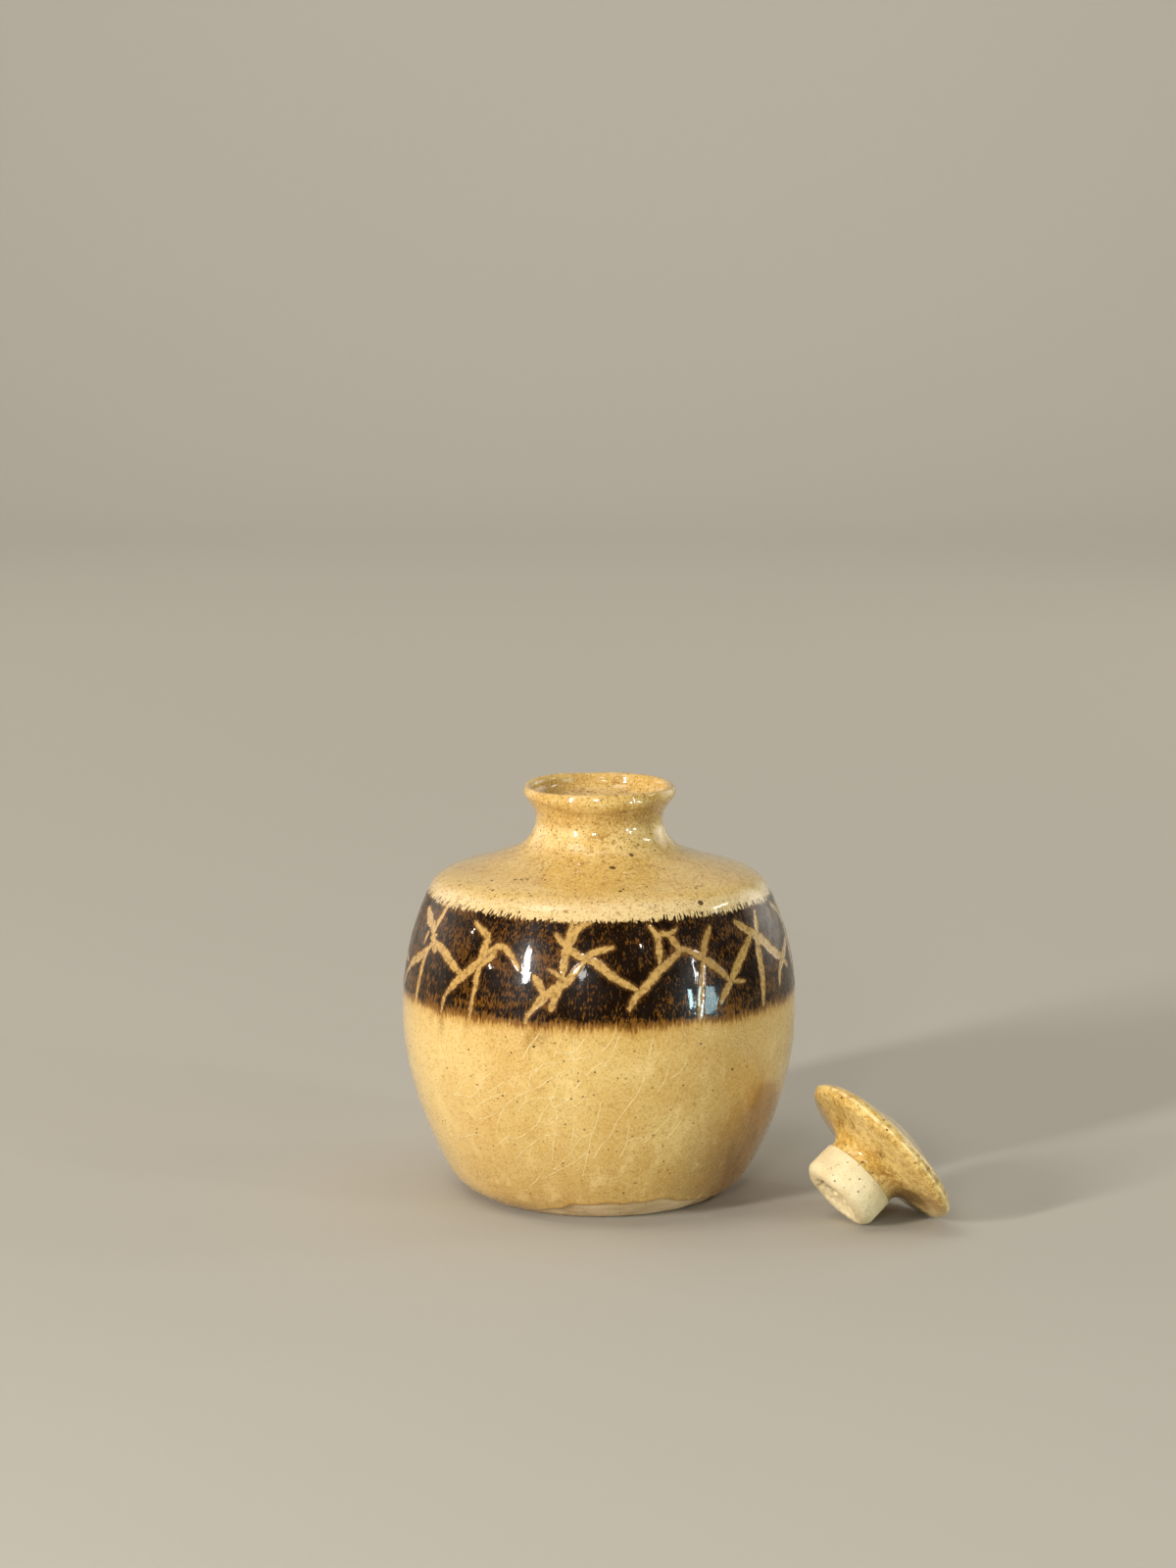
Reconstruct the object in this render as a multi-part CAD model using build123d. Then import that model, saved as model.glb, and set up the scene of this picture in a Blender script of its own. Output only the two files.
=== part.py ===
from build123d import *
import os
from math import asin, atan2, cos, degrees, hypot, radians, sin

# A small thrown stoneware jar with a mushroom-shaped stopper that lies beside it.
# Millimetres. The origin is the centre of the jar's foot on the table, +Z is the jar's
# axis, and the stopper lies towards +X and a little towards -Y, the front.

# Jar, outside, over the glaze
jar_height = 83.2
foot_radius = 24.3
belly_radius = 40.0
belly_height = 38.0
shoulder_radius = 33.5
shoulder_height = 63.7
neck_radius = 13.0
neck_height = 75.6
lip_radius = 15.3
lip_bead = 0.9

# Jar, inside
wall = 4.4
floor_thickness = 5.5
mouth_depth = 6.2
throat_length = 7.0

# Glaze and slip coats on the jar
glaze = 0.45
bare_height = 2.2
band_over_belly = 3.6
band_under_shoulder = 2.1

# Stopper, over the glaze, with heights measured from the plug's end
plug_radius = 8.15
plug_length = 6.7
plug_edge = 2.0
dish_radius = 5.2
dish_depth = 0.9
waist_neck_in = 0.3
waist_height = 1.3
cap_radius = 17.6
rim_radius = 1.5
rim_height = 13.45
stopper_height = 19.3
stopper_glaze = 0.4
stopper_clearance = 0.45

# Where the stopper lies: the middle of the plug's end, seen from above, and which way its
# cap points, in degrees from +X
stopper_x = 46.1
stopper_y = -30.5
stopper_turn = 25.0

# The jar's outline between its named places. Each pair is a share of the way in radius
# and a share of the way in height.
heel_shares = [(0.265, 0.066), (0.512, 0.21), (0.785, 0.474), (0.955, 0.76)]
upper_wall_shares = [(0.13, 0.35), (0.42, 0.66), (0.785, 0.9)]
shoulder_shares = [(0.05, 0.074), (0.172, 0.175), (0.414, 0.302), (0.656, 0.443), (0.875, 0.63)]
flare_shares = [(0.1, 0.33), (0.6, 0.61), (0.93, 0.78)]

# The stopper's underside from the waist to the rim, as the same kind of shares
underside_shares = [(0.06, 0.25), (0.3, 0.56), (0.67, 0.8)]
dome_shares = [(0.3, 0.4), (0.62, 0.8)]

# Where the inside wall follows the outside one: shares of the belly's height, and of the
# height from the belly to the shoulder and from the shoulder to the neck
lower_inside_share = 0.38
upper_inside_share = 0.62
ceiling_share = 0.42
floor_radius_share = 0.8

rim_start_angle = -70
rim_end_angle = 62

# Directions in a section
up = Vector(0, 0, 1)
down = Vector(0, 0, -1)
inwards = Vector(-1, 0, 0)
outwards = Vector(1, 0, 0)

# How many pieces a stretch of outline is measured in when its coat is laid on
coat_steps = 12


def at(radius, height):
    """A point of a section that is turned about the Z axis."""
    return Vector(radius, 0, height)


def between(start, end, shares):
    """Points on the way from one (radius, height) to another."""
    radius, height = start
    return [
        at(radius + (end[0] - radius) * across, height + (end[1] - height) * climb)
        for across, climb in shares
    ]


def share_at_height(line, height):
    """Where a line that climbs steadily reaches a height."""
    low = 0.0
    high = 1.0
    for _ in range(50):
        middle = (low + high) / 2
        if (line @ middle).Z < height:
            low = middle
        else:
            high = middle
    return (low + high) / 2


def smooth(points, start_way, end_way):
    """A smooth line through points that leaves and arrives in two given directions."""
    return Spline(points, tangents=[start_way, end_way], tangent_scalars=[1, 1])


def into_clay(line, share, depth):
    """A point that lies a depth under the surface. The clay is on the left of each line."""
    way = line % share
    return line @ share + Vector(-way.Z, 0, way.X) * depth


def stretch(line, start, end, depth):
    """A line's stretch between two shares of it, sunk into the clay by a depth."""
    steps = [start + (end - start) * step / coat_steps for step in range(coat_steps + 1)]
    points = [into_clay(line, share, depth) for share in steps]
    return smooth(points, line % start, line % end)


def turned(edges):
    """The solid that a closed outline makes when it is turned about the Z axis."""
    return revolve(make_face(edges), Axis.Z)


def closed(outer, inner):
    """The outline between a coat's outer edges and the edges that it lies on."""
    start = Line(outer[0] @ 0, inner[0] @ 0)
    end = Line(outer[-1] @ 1, inner[-1] @ 1)
    return outer + inner + [start, end]


def jar_outline():
    """The jar's outside from the foot to the lip's widest point."""
    foot = (foot_radius, 0)
    belly = (belly_radius, belly_height)
    shoulder = (shoulder_radius, shoulder_height)
    neck = (neck_radius, neck_height)
    lip = (lip_radius, jar_height - lip_bead)
    points = [at(*foot)] + between(foot, belly, heel_shares)
    points += [at(*belly)] + between(belly, shoulder, upper_wall_shares)
    points += [at(*shoulder)] + between(shoulder, neck, shoulder_shares)
    points += [at(*neck)] + between(neck, lip, flare_shares) + [at(*lip)]
    return smooth(points, points[1] - points[0], up)


def lip_arc(depth):
    """The rounded lip, from its widest point over the crest to the mouth."""
    height = jar_height - lip_bead
    middle = lip_radius - lip_bead
    bead = lip_bead - depth
    return ThreePointArc(at(middle + bead, height), at(middle, height + bead), at(middle - bead, height))


def mouth_line():
    """The funnel that leads from the lip down to the throat."""
    rim = at(lip_radius - 2 * lip_bead, jar_height - lip_bead)
    throat = at(throat_radius, throat_top)
    return smooth([rim, throat], down, down)


def cavity_line(outside):
    """The inside from the throat's lower end over the ceiling and down the wall to the floor."""
    rise = shoulder_height - belly_height
    heights = [
        shoulder_height + (neck_height - shoulder_height) * ceiling_share,
        belly_height + rise * upper_inside_share,
        belly_height,
        belly_height * lower_inside_share,
    ]
    points = [at(throat_radius, throat_top - throat_length)]
    points += [into_clay(outside, share_at_height(outside, height), wall) for height in heights]
    points += [at(foot_radius * floor_radius_share, floor_thickness)]
    return smooth(points, down, inwards)


def inside_edges(outside, depth):
    """The whole inside surface from the mouth to the middle of the floor."""
    mouth = mouth_line()
    cavity = cavity_line(outside)
    funnel = stretch(mouth, 0, 1, depth)
    room = stretch(cavity, 0, 1, depth)
    throat = Line(funnel @ 1, room @ 0)
    floor = Line(room @ 1, at(0, (room @ 1).Z))
    return [funnel, throat, room, floor]


def clay_body(outside):
    """The thrown clay: the jar without its coats, bare at the foot."""
    places = [share_at_height(outside, height) for height in (bare_height, band_bottom, band_top)]
    places.append(1)
    walls = [stretch(outside, start, end, glaze) for start, end in zip(places, places[1:])]
    inside = inside_edges(outside, glaze)
    foot = at(foot_radius, 0)
    base = Line(at(0, 0), foot)
    bare_edge = Line(foot, walls[0] @ 0)
    axis = Line(inside[-1] @ 1, at(0, 0))
    return turned([base, bare_edge] + walls + [lip_arc(glaze)] + inside + [axis])


def wall_coat(outside, bottom, top):
    """A coat on the outside wall between two heights."""
    start = share_at_height(outside, bottom)
    end = share_at_height(outside, top)
    return turned(closed([stretch(outside, start, end, 0)], [stretch(outside, start, end, glaze)]))


def shoulder_coat(outside):
    """The coat from the band over the shoulder, the neck and the lip."""
    start = share_at_height(outside, band_top)
    outer = [stretch(outside, start, 1, 0), lip_arc(0)]
    inner = [stretch(outside, start, 1, glaze), lip_arc(glaze)]
    return turned(closed(outer, inner))


def liner_coat(outside):
    """The coat that lines the mouth, the throat and the inside."""
    return turned(closed(inside_edges(outside, 0), inside_edges(outside, glaze)))


def rim_arc(depth):
    """The cap's rounded rim."""
    radius = rim_radius - depth
    middle = at(cap_radius - rim_radius, rim_height)
    points = []
    for angle in (rim_start_angle, (rim_start_angle + rim_end_angle) / 2, rim_end_angle):
        points.append(middle + Vector(cos(radians(angle)), 0, sin(radians(angle))) * radius)
    return ThreePointArc(*points)


def underside_line():
    """The stopper's glazed waist and the cap's underside, up to the rim."""
    rim = rim_arc(0)
    start = (plug_radius - waist_neck_in, plug_length)
    waist = (plug_radius - waist_neck_in, plug_length + waist_height)
    edge = ((rim @ 0).X, (rim @ 0).Z)
    points = [at(*start), at(*waist)] + between(waist, edge, underside_shares) + [at(*edge)]
    return smooth(points, up, rim % 0)


def dome_line():
    """The cap's top from the rim to the middle."""
    rim = rim_arc(0)
    edge = ((rim @ 1).X, (rim @ 1).Z)
    middle = (0, stopper_height)
    points = [at(*edge)] + between(edge, middle, dome_shares) + [at(*middle)]
    return smooth(points, rim % 1, inwards)


def cap_edges(depth):
    """The glazed part of the stopper's outline."""
    underside = stretch(underside_line(), 0, 1, depth)
    dome = stretch(dome_line(), 0, 1, depth)
    return [underside, rim_arc(depth), dome]


def stopper_clay():
    """The stopper's clay: a plug with a dished end, a waist and a domed cap."""
    cap = cap_edges(stopper_glaze)
    dish_middle = at(0, dish_depth)
    dish_edge = at(dish_radius, 0)
    corner = plug_radius - plug_edge
    half = sin(radians(45)) * plug_edge
    dish = smooth([dish_middle, dish_edge], outwards, outwards + down)
    end = Line(dish_edge, at(corner, 0))
    edge = ThreePointArc(
        at(corner, 0),
        at(corner + half, plug_edge - half),
        at(plug_radius, plug_edge),
    )
    side = Line(at(plug_radius, plug_edge), at(plug_radius, plug_length))
    ledge = Line(at(plug_radius, plug_length), cap[0] @ 0)
    axis = Line(cap[-1] @ 1, dish_middle)
    return turned([dish, end, edge, side, ledge] + cap + [axis])


def stopper_coat():
    """The glaze over the stopper's waist and cap."""
    outer = cap_edges(0)
    inner = cap_edges(stopper_glaze)
    return turned(closed(outer, inner))


def lying_place():
    """Where the stopper lies, on the edge of its plug and the rim of its cap."""
    across = (cap_radius - rim_radius) - (plug_radius - plug_edge)
    along = rim_height - plug_edge
    slope = degrees(asin((plug_edge - rim_radius) / hypot(across, along)))
    tilt = 90 - (degrees(atan2(across, along)) - slope)
    lift = plug_edge * (1 - cos(radians(tilt))) + (plug_radius - plug_edge) * sin(radians(tilt))
    return Pos(stopper_x, stopper_y, lift) * Rot(0, 0, stopper_turn) * Rot(0, tilt, 0)


band_bottom = belly_height + band_over_belly
band_top = shoulder_height - band_under_shoulder
throat_radius = plug_radius + stopper_clearance
throat_top = jar_height - mouth_depth

outline = jar_outline()
lying = lying_place()
parts = {
    "clay_body": clay_body(outline),
    "belly_glaze": wall_coat(outline, bare_height, band_bottom),
    "iron_band": wall_coat(outline, band_bottom, band_top),
    "shoulder_glaze": shoulder_coat(outline),
    "liner_glaze": liner_coat(outline),
    "stopper_clay": lying * stopper_clay(),
    "stopper_glaze": lying * stopper_coat(),
}

os.makedirs("parts", exist_ok=True)
for name, part in parts.items():
    export_step(part, f"parts/{name}.step")
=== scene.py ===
from functools import cache, partial, reduce
from math import asin, atan2, cos, degrees, hypot, pi, radians, sin

import bpy
import numpy as np
from mathutils import Matrix, Vector, kdtree


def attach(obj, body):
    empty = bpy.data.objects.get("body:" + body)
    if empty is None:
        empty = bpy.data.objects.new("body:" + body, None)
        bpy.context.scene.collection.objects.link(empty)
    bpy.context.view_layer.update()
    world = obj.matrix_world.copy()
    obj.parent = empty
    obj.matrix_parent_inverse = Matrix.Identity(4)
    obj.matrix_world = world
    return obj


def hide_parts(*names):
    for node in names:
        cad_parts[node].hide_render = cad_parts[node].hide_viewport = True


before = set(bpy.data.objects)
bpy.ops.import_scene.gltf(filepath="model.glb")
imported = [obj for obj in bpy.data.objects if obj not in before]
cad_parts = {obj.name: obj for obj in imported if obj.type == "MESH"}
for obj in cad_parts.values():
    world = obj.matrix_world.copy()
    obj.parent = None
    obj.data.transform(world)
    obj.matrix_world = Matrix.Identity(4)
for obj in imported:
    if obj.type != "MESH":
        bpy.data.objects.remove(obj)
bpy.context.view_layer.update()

# A small thrown stoneware jar and its stopper. Lengths are in millimetres until they go
# into a mesh, and angles round the jar are counted from its front, towards +X.

metres = 0.001

# Jar, outside, as in the CAD model
jar_height = 83.2
foot_radius = 24.3
belly_radius = 40.0
belly_height = 38.0
shoulder_radius = 33.5
shoulder_height = 63.7
neck_radius = 13.0
neck_height = 75.6
lip_radius = 15.3
lip_bead = 0.9

# Jar, inside, and its coats
wall = 4.4
floor_thickness = 5.5
mouth_depth = 6.2
throat_length = 7.0
throat_radius = 8.6
glaze = 0.45
bare_height = 2.2
band_bottom = 41.6
band_top = 61.6

# Stopper
plug_radius = 8.15
plug_length = 6.7
plug_edge = 2.0
dish_radius = 5.2
dish_depth = 0.9
waist_neck_in = 0.3
waist_height = 1.3
cap_radius = 17.6
rim_radius = 1.5
rim_height = 13.45
stopper_height = 19.3
stopper_glaze = 0.4
stopper_x = 46.1
stopper_y = -30.5
stopper_turn = 25.0

# The outlines between those places, as shares of the way in radius and in height
heel_shares = [(0.265, 0.066), (0.512, 0.21), (0.785, 0.474), (0.955, 0.76)]
upper_wall_shares = [(0.13, 0.35), (0.42, 0.66), (0.785, 0.9)]
shoulder_shares = [(0.05, 0.074), (0.172, 0.175), (0.414, 0.302), (0.656, 0.443), (0.875, 0.63)]
flare_shares = [(0.1, 0.33), (0.6, 0.61), (0.93, 0.78)]
underside_shares = [(0.06, 0.25), (0.3, 0.56), (0.67, 0.8)]
dome_shares = [(0.3, 0.4), (0.62, 0.8)]
lower_inside_share = 0.38
upper_inside_share = 0.62
ceiling_share = 0.42
floor_radius_share = 0.8
rim_start_angle = -70
rim_end_angle = 62

# The camera that took the photograph, which is 1200 by 1600 pixels
image_width = 1200
image_height = 1600
lens = 80.0
sensor = 36.0
camera_place = (-2.25, -694.0, 187.0)
camera_pitch = 8.51

# How finely the meshes are cut, how far the rows reach beyond a coat's ends, and how many rows
# of a coat's outside there are to one of its inside
jar_columns = 960
stopper_columns = 480
band_row = 0.26
row_beyond = 0.25
rows_to_inner = 8

# The foot's rounded corner, and where the clay's roughness ends above it
foot_corner = 0.8
rough_end = 6.0

# How deep the lower edge of the belly's glaze goes into the clay, how far it stands off it, and
# how much the bare plug is worn
edge_in_clay = 0.05
edge_over_clay = 0.04
plug_worn = 0.05

# The made-up cracks: their slant, and how far apart they are
crack_slant = radians(-36)
crack_size = 3.9


# Outlines in a section

def smooth(points, start_way, end_way, steps=40):
    """Points along the smooth line through points that leaves and arrives in two directions."""
    points = np.array(points, float)
    spans = np.hypot(*np.diff(points, axis=0).T)
    count = len(points)
    matrix = np.zeros((count, count))
    right = np.zeros((count, 2))
    matrix[0, 0] = matrix[-1, -1] = 1
    right[0] = np.array(start_way, float) / hypot(*start_way)
    right[-1] = np.array(end_way, float) / hypot(*end_way)
    for i in range(1, count - 1):
        before, after = spans[i - 1], spans[i]
        matrix[i, i - 1 : i + 2] = (after, 2 * (before + after), before)
        rise = (points[i] - points[i - 1]) * after / before
        fall = (points[i + 1] - points[i]) * before / after
        right[i] = 3 * (rise + fall)
    ways = np.linalg.solve(matrix, right)
    t = np.linspace(0, 1, steps, endpoint=False)[:, None]
    line = []
    for i, span in enumerate(spans):
        line.append(
            (2 * t**3 - 3 * t**2 + 1) * points[i]
            + (t**3 - 2 * t**2 + t) * span * ways[i]
            + (3 * t**2 - 2 * t**3) * points[i + 1]
            + (t**3 - t**2) * span * ways[i + 1]
        )
    line.append(points[-1:])
    return np.vstack(line)


def between(start, end, shares):
    """Points on the way from one (radius, height) to another."""
    return [
        (start[0] + (end[0] - start[0]) * across, start[1] + (end[1] - start[1]) * climb)
        for across, climb in shares
    ]


def arc(middle, radius, start, end, steps=60):
    """Points along an arc, between two angles in degrees."""
    turn = np.radians(np.linspace(start, end, steps))
    return np.column_stack([middle[0] + np.cos(turn) * radius, middle[1] + np.sin(turn) * radius])


def straight(start, end, steps=40):
    """Points along a straight line."""
    share = np.linspace(0, 1, steps)[:, None]
    return np.array(start, float) * (1 - share) + np.array(end, float) * share


class Section:
    """A long line in a section, by its length. What it bounds is on the left of travel."""

    def __init__(self, *lines):
        self.stations = [0.0]
        points = lines[0]
        for line in lines[1:]:
            self.stations.append(self.measure(points)[-1])
            points = np.vstack([points, line[1:]])
        self.length = self.measure(points)
        self.stations.append(self.length[-1])
        self.points = points
        way = np.gradient(points, self.length, axis=0)
        way /= np.hypot(way[:, 0], way[:, 1])[:, None]
        self.out = np.column_stack([way[:, 1], -way[:, 0]])

    @staticmethod
    def measure(points):
        steps = np.hypot(*np.diff(points, axis=0).T)
        return np.concatenate([[0.0], np.cumsum(steps)])

    def at(self, s):
        """Radius and height at a length."""
        radius = np.interp(s, self.length, self.points[:, 0])
        height = np.interp(s, self.length, self.points[:, 1])
        return radius, height

    def facing(self, s):
        """The outward direction at a length."""
        across = np.interp(s, self.length, self.out[:, 0])
        climb = np.interp(s, self.length, self.out[:, 1])
        size = np.hypot(across, climb)
        return across / size, climb / size

    def at_height(self, height, end):
        """The length at which the first part of the line, up to end, reaches a height."""
        part = self.length <= end
        return float(np.interp(height, self.points[part, 1], self.length[part]))


def jar_outline():
    """The jar's outside from the foot to the lip's widest point."""
    foot = (foot_radius, 0)
    belly = (belly_radius, belly_height)
    shoulder = (shoulder_radius, shoulder_height)
    neck = (neck_radius, neck_height)
    lip = (lip_radius, jar_height - lip_bead)
    points = [foot] + between(foot, belly, heel_shares) + [belly]
    points += between(belly, shoulder, upper_wall_shares) + [shoulder]
    points += between(shoulder, neck, shoulder_shares) + [neck]
    points += between(neck, lip, flare_shares) + [lip]
    start = np.subtract(points[1], points[0])
    return smooth(points, start, (0, 1))


def inside_line(outside):
    """From the throat's lower end over the ceiling and down the wall to the floor."""
    rise = shoulder_height - belly_height
    heights = [
        shoulder_height + (neck_height - shoulder_height) * ceiling_share,
        belly_height + rise * upper_inside_share,
        belly_height,
        belly_height * lower_inside_share,
    ]
    points = [(throat_radius, jar_height - mouth_depth - throat_length)]
    for height in heights:
        s = outside.at_height(height, outside.length[-1])
        radius, level = outside.at(s)
        across, climb = outside.facing(s)
        points.append((radius - across * wall, level - climb * wall))
    points.append((foot_radius * floor_radius_share, floor_thickness))
    return smooth(points, (0, -1), (-1, 0))


def jar_section():
    """The jar's whole surface, from the foot over the lip to the middle of the inside floor."""
    outline = jar_outline()
    lip_middle = (lip_radius - lip_bead, jar_height - lip_bead)
    lip = arc(lip_middle, lip_bead, 0, 180)
    throat_top = (throat_radius, jar_height - mouth_depth)
    throat_bottom = (throat_radius, jar_height - mouth_depth - throat_length)
    mouth = smooth([lip[-1], throat_top], (0, -1), (0, -1), steps=80)
    room = inside_line(Section(outline))
    floor = straight(room[-1], (0, floor_thickness))
    return Section(outline, lip, mouth, straight(throat_top, throat_bottom), room, floor)


jar = jar_section()
_, lip_s, mouth_s, throat_s, room_s, _, end_s = jar.stations
bare_s = jar.at_height(bare_height, lip_s)
band_bottom_s = jar.at_height(band_bottom, lip_s)
band_top_s = jar.at_height(band_top, lip_s)


def around(radius, height, angle):
    """Points at a radius and a height, turned round the axis by an angle."""
    turn = np.radians(angle)
    x, y = radius * np.sin(turn), -radius * np.cos(turn)
    return np.stack(np.broadcast_arrays(x, y, height), axis=-1)


def on_ring(section, s, angle, rise=0.0):
    """Points of a turned surface, lifted off it by a rise."""
    radius, height = section.at(s)
    across, climb = section.facing(s)
    return around(radius + across * rise, height + climb * rise, angle)


def rings(section, rows, angles):
    """Lengths, angles and places of a turned surface's points, row by row."""
    s = np.broadcast_to(rows.reshape(len(rows), -1), (len(rows), len(angles)))
    angle = np.broadcast_to(angles, s.shape)
    return s, angle, on_ring(section, s, angle)


# What the photograph shows at a pixel

pitch = radians(camera_pitch)
camera_way = np.array([0, cos(pitch), -sin(pitch)])
camera_up = np.array([0, sin(pitch), cos(pitch)])
camera_right = np.array([1, 0, 0])
focal = lens / sensor * image_height
# How far from the camera a ray is searched, from where and for how long, and in what steps
jar_reach = (620.0, 140)
stopper_reach = (600.0, 120)
ray_step = 0.05


def along_ray(x, y, start, reach):
    """Points along the way in which the camera sees a pixel of the photograph."""
    ray = camera_way + camera_up * (image_height / 2 - y) / focal
    ray = ray + camera_right * (x - image_width / 2) / focal
    steps = np.arange(start, start + reach, ray_step)[:, None]
    return np.array(camera_place) + ray / np.linalg.norm(ray) * steps


def first_within(points, radius):
    """The first of the points that lies within a radius, or the one that comes closest to it."""
    gap = np.hypot(points[:, 0], points[:, 1]) - radius
    return points[np.argmax(gap <= 0) if (gap <= 0).any() else np.argmin(gap)]


@cache
def seen_on_jar(x, y):
    """Angle and length along the section where a pixel's ray meets the jar's wall."""
    points = along_ray(x, y, *jar_reach)
    outside = jar.length <= lip_s
    radius = np.interp(points[:, 2], jar.points[outside, 1], jar.points[outside, 0])
    x, y, z = first_within(points, radius)
    return degrees(atan2(x, -y)), jar.at_height(z, lip_s)


def place_on_jar(x, y):
    """Where a pixel of the photograph lies on the jar."""
    angle, s = seen_on_jar(x, y)
    return tuple(on_ring(jar, s, angle))


# Uneven surfaces

def ripple(points, size, seed, waves=18):
    """A smooth uneven value, between about -1 and 1, whose bumps are about one size apart."""
    random = np.random.default_rng(seed)
    total = np.zeros(points.shape[:-1])
    for _ in range(waves):
        way = random.normal(size=3)
        way *= 2 * pi / size / np.linalg.norm(way) * random.uniform(0.7, 1.4)
        total += np.sin(points @ way + random.uniform(0, 2 * pi))
    return total / np.sqrt(waves)


def ease(value, low, high):
    """From 0 at low to 1 at high, rounded at both ends."""
    share = np.clip((value - low) / (high - low), 0, 1)
    return share * share * (3 - 2 * share)


def bell(*values):
    """1 where every value is zero, and smoothly less round it."""
    return np.exp(-sum(value**2 for value in values))


def rounded(share, depth):
    """How far a rounded edge lies under its coat, from depth where share is 0 to nothing at 1."""
    share = np.clip(share, 0, 1)
    return depth * (1 - np.sqrt(1 - (1 - share) ** 2))


# Strokes in the dark band: width and places, read off the photograph in its pixels
wide, bold, broad, thick, middling, thin = 2.9, 2.2, 1.75, 1.55, 1.2, 0.72
strokes_seen = [
    (bold, [(437, 927), (438, 935), (440, 944), (442, 952)]),
    (middling, [(460, 919), (455, 926), (450, 935), (446, 942), (443, 950)]),
    (wide, [(442, 942), (442, 952), (442, 960), (443, 969)]),
    (broad, [(441, 962), (434, 970), (427, 976), (420, 982), (416, 990)]),
    (thin, [(417, 986), (413, 1000), (411, 1014)]),
    (middling, [(437, 966), (433, 976), (429, 990), (426, 1005), (423, 1026)]),
    (broad, [(443, 960), (451, 969), (458, 979), (464, 987), (472, 995)]),
    (thin, [(414, 969), (417, 980)]),
    (thin, [(437, 950), (432, 962)]),
    (middling, [(485, 941), (491, 948), (497, 955), (500, 962)]),
    (broad, [(499, 953), (496, 964), (493, 973), (488, 983)]),
    (middling, [(494, 975), (504, 968), (512, 966), (519, 971), (525, 980), (530, 990)]),
    (middling, [(507, 967), (504, 974), (497, 980), (489, 986)]),
    (broad, [(494, 976), (486, 984), (478, 991), (470, 997), (463, 1004), (456, 1012)]),
    (thin, [(458, 1008), (453, 1018), (450, 1034)]),
    (middling, [(490, 983), (487, 995), (485, 1006), (483, 1016)]),
    (thin, [(485, 1005), (482, 1020), (479, 1041)]),
    (thick, [(584, 942), (583, 949), (578, 970), (575, 989), (574, 1000)]),
    (thick, [(574, 996), (567, 1015), (562, 1031)]),
    (middling, [(603, 942), (592, 946), (587, 953), (583, 965)]),
    (thick, [
        (568, 954), (574, 962), (583, 970), (595, 978), (605, 981), (618, 991), (632, 1001),
        (650, 1010),
    ]),
    (middling, [(626, 967), (613, 970), (602, 975), (592, 986)]),
    (broad, [(592, 986), (579, 1001), (559, 1015), (547, 1026), (540, 1034)]),
    (thin, [(543, 1030), (538, 1037), (536, 1045)]),
    (thin, [(559, 989), (568, 994), (574, 1001)]),
    (thick, [(545, 996), (552, 1008), (556, 1016)]),
    (middling, [(662, 945), (670, 955), (672, 966), (673, 983)]),
    (middling, [(670, 954), (677, 953), (684, 957), (689, 963), (693, 968), (698, 970)]),
    (thick, [(696, 968), (704, 971), (712, 975), (723, 982), (734, 990), (744, 1000)]),
    (thin, [(690, 948), (685, 952), (681, 956)]),
    (thick, [
        (694, 970), (683, 981), (673, 990), (664, 1001), (655, 1011), (648, 1019), (642, 1030),
    ]),
    (middling, [(724, 946), (719, 962), (717, 982)]),
    (middling, [(717, 980), (716, 1002), (715, 1021), (713, 1044)]),
    (broad, [(766, 953), (759, 970), (752, 986), (746, 1000), (739, 1014), (735, 1023)]),
    (thin, [(747, 1001), (760, 1001)]),
    (bold, [(750, 941), (759, 947), (768, 953), (778, 959), (788, 969), (798, 977), (803, 984)]),
    (broad, [(770, 930), (772, 949), (774, 970), (778, 995), (779, 1024)]),
    (thick, [(786, 922), (794, 931), (799, 943), (804, 965), (807, 981)]),
    (thick, [(801, 957), (799, 975), (796, 991), (796, 1003)]),
]
# One group of strokes that stands for those round the back: angle and share of the band's height
group_shares = [
    (thick, [(-6, 0.93), (-3, 0.72), (3, 0.55), (8, 0.36)]),
    (middling, [(7, 0.9), (2, 0.76), (-4, 0.57), (-10, 0.38), (-13, 0.24)]),
    (thin, [(1, 0.62), (0, 0.42), (-1, 0.2), (-1, 0.02)]),
    (middling, [(-9, 0.76), (-4, 0.71)]),
]
group_places = [92, 115, 139, 164, 187, 212, 236, 259]
group_seed = 11
stroke_step = 0.12


@cache
def stroke_samples():
    """Points along every stroke with half its width there, thinner towards its ends."""
    samples = []
    for width, pixels in strokes_seen:
        samples += follow_stroke(width, [seen_on_jar(*pixel) for pixel in pixels])
    random = np.random.default_rng(group_seed)
    rise = band_top_s - band_bottom_s
    for place in group_places:
        lean = random.uniform(0.7, 1.25)
        lift = random.uniform(-0.05, 0.04)
        side = random.choice([-1, 1])
        for width, shares in group_shares:
            bend = random.uniform(-1.5, 1.5, size=len(shares))
            places = [
                (place + angle * side * lean + off, band_bottom_s + rise * min(share + lift, 1.0))
                for (angle, share), off in zip(shares, bend)
            ]
            samples += follow_stroke(width, places)
    return samples


def follow_stroke(width, places):
    """One stroke's points, about a tenth of a millimetre apart."""
    places = np.array(places, float)
    scale = radians(1) * belly_radius
    line = places * (scale, 1)
    if len(line) > 2:
        line = smooth(line, line[1] - line[0], line[-1] - line[-2], steps=24)
    measure = Section.measure(line)
    s = np.arange(0, measure[-1], stroke_step)
    taper = 0.12 + 0.88 * np.sin(pi * (0.05 + 0.9 * (s / measure[-1]))) ** 0.6
    wander = 1 + 0.11 * np.sin(s * 1.9 + places[0, 0]) + 0.06 * np.sin(s * 5.3 + places[0, 1])
    halves = width / 2 * taper * wander
    across = np.interp(s, measure, line[:, 0])
    along = np.interp(s, measure, line[:, 1])
    return list(zip(on_ring(jar, along, across / scale), halves))


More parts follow.
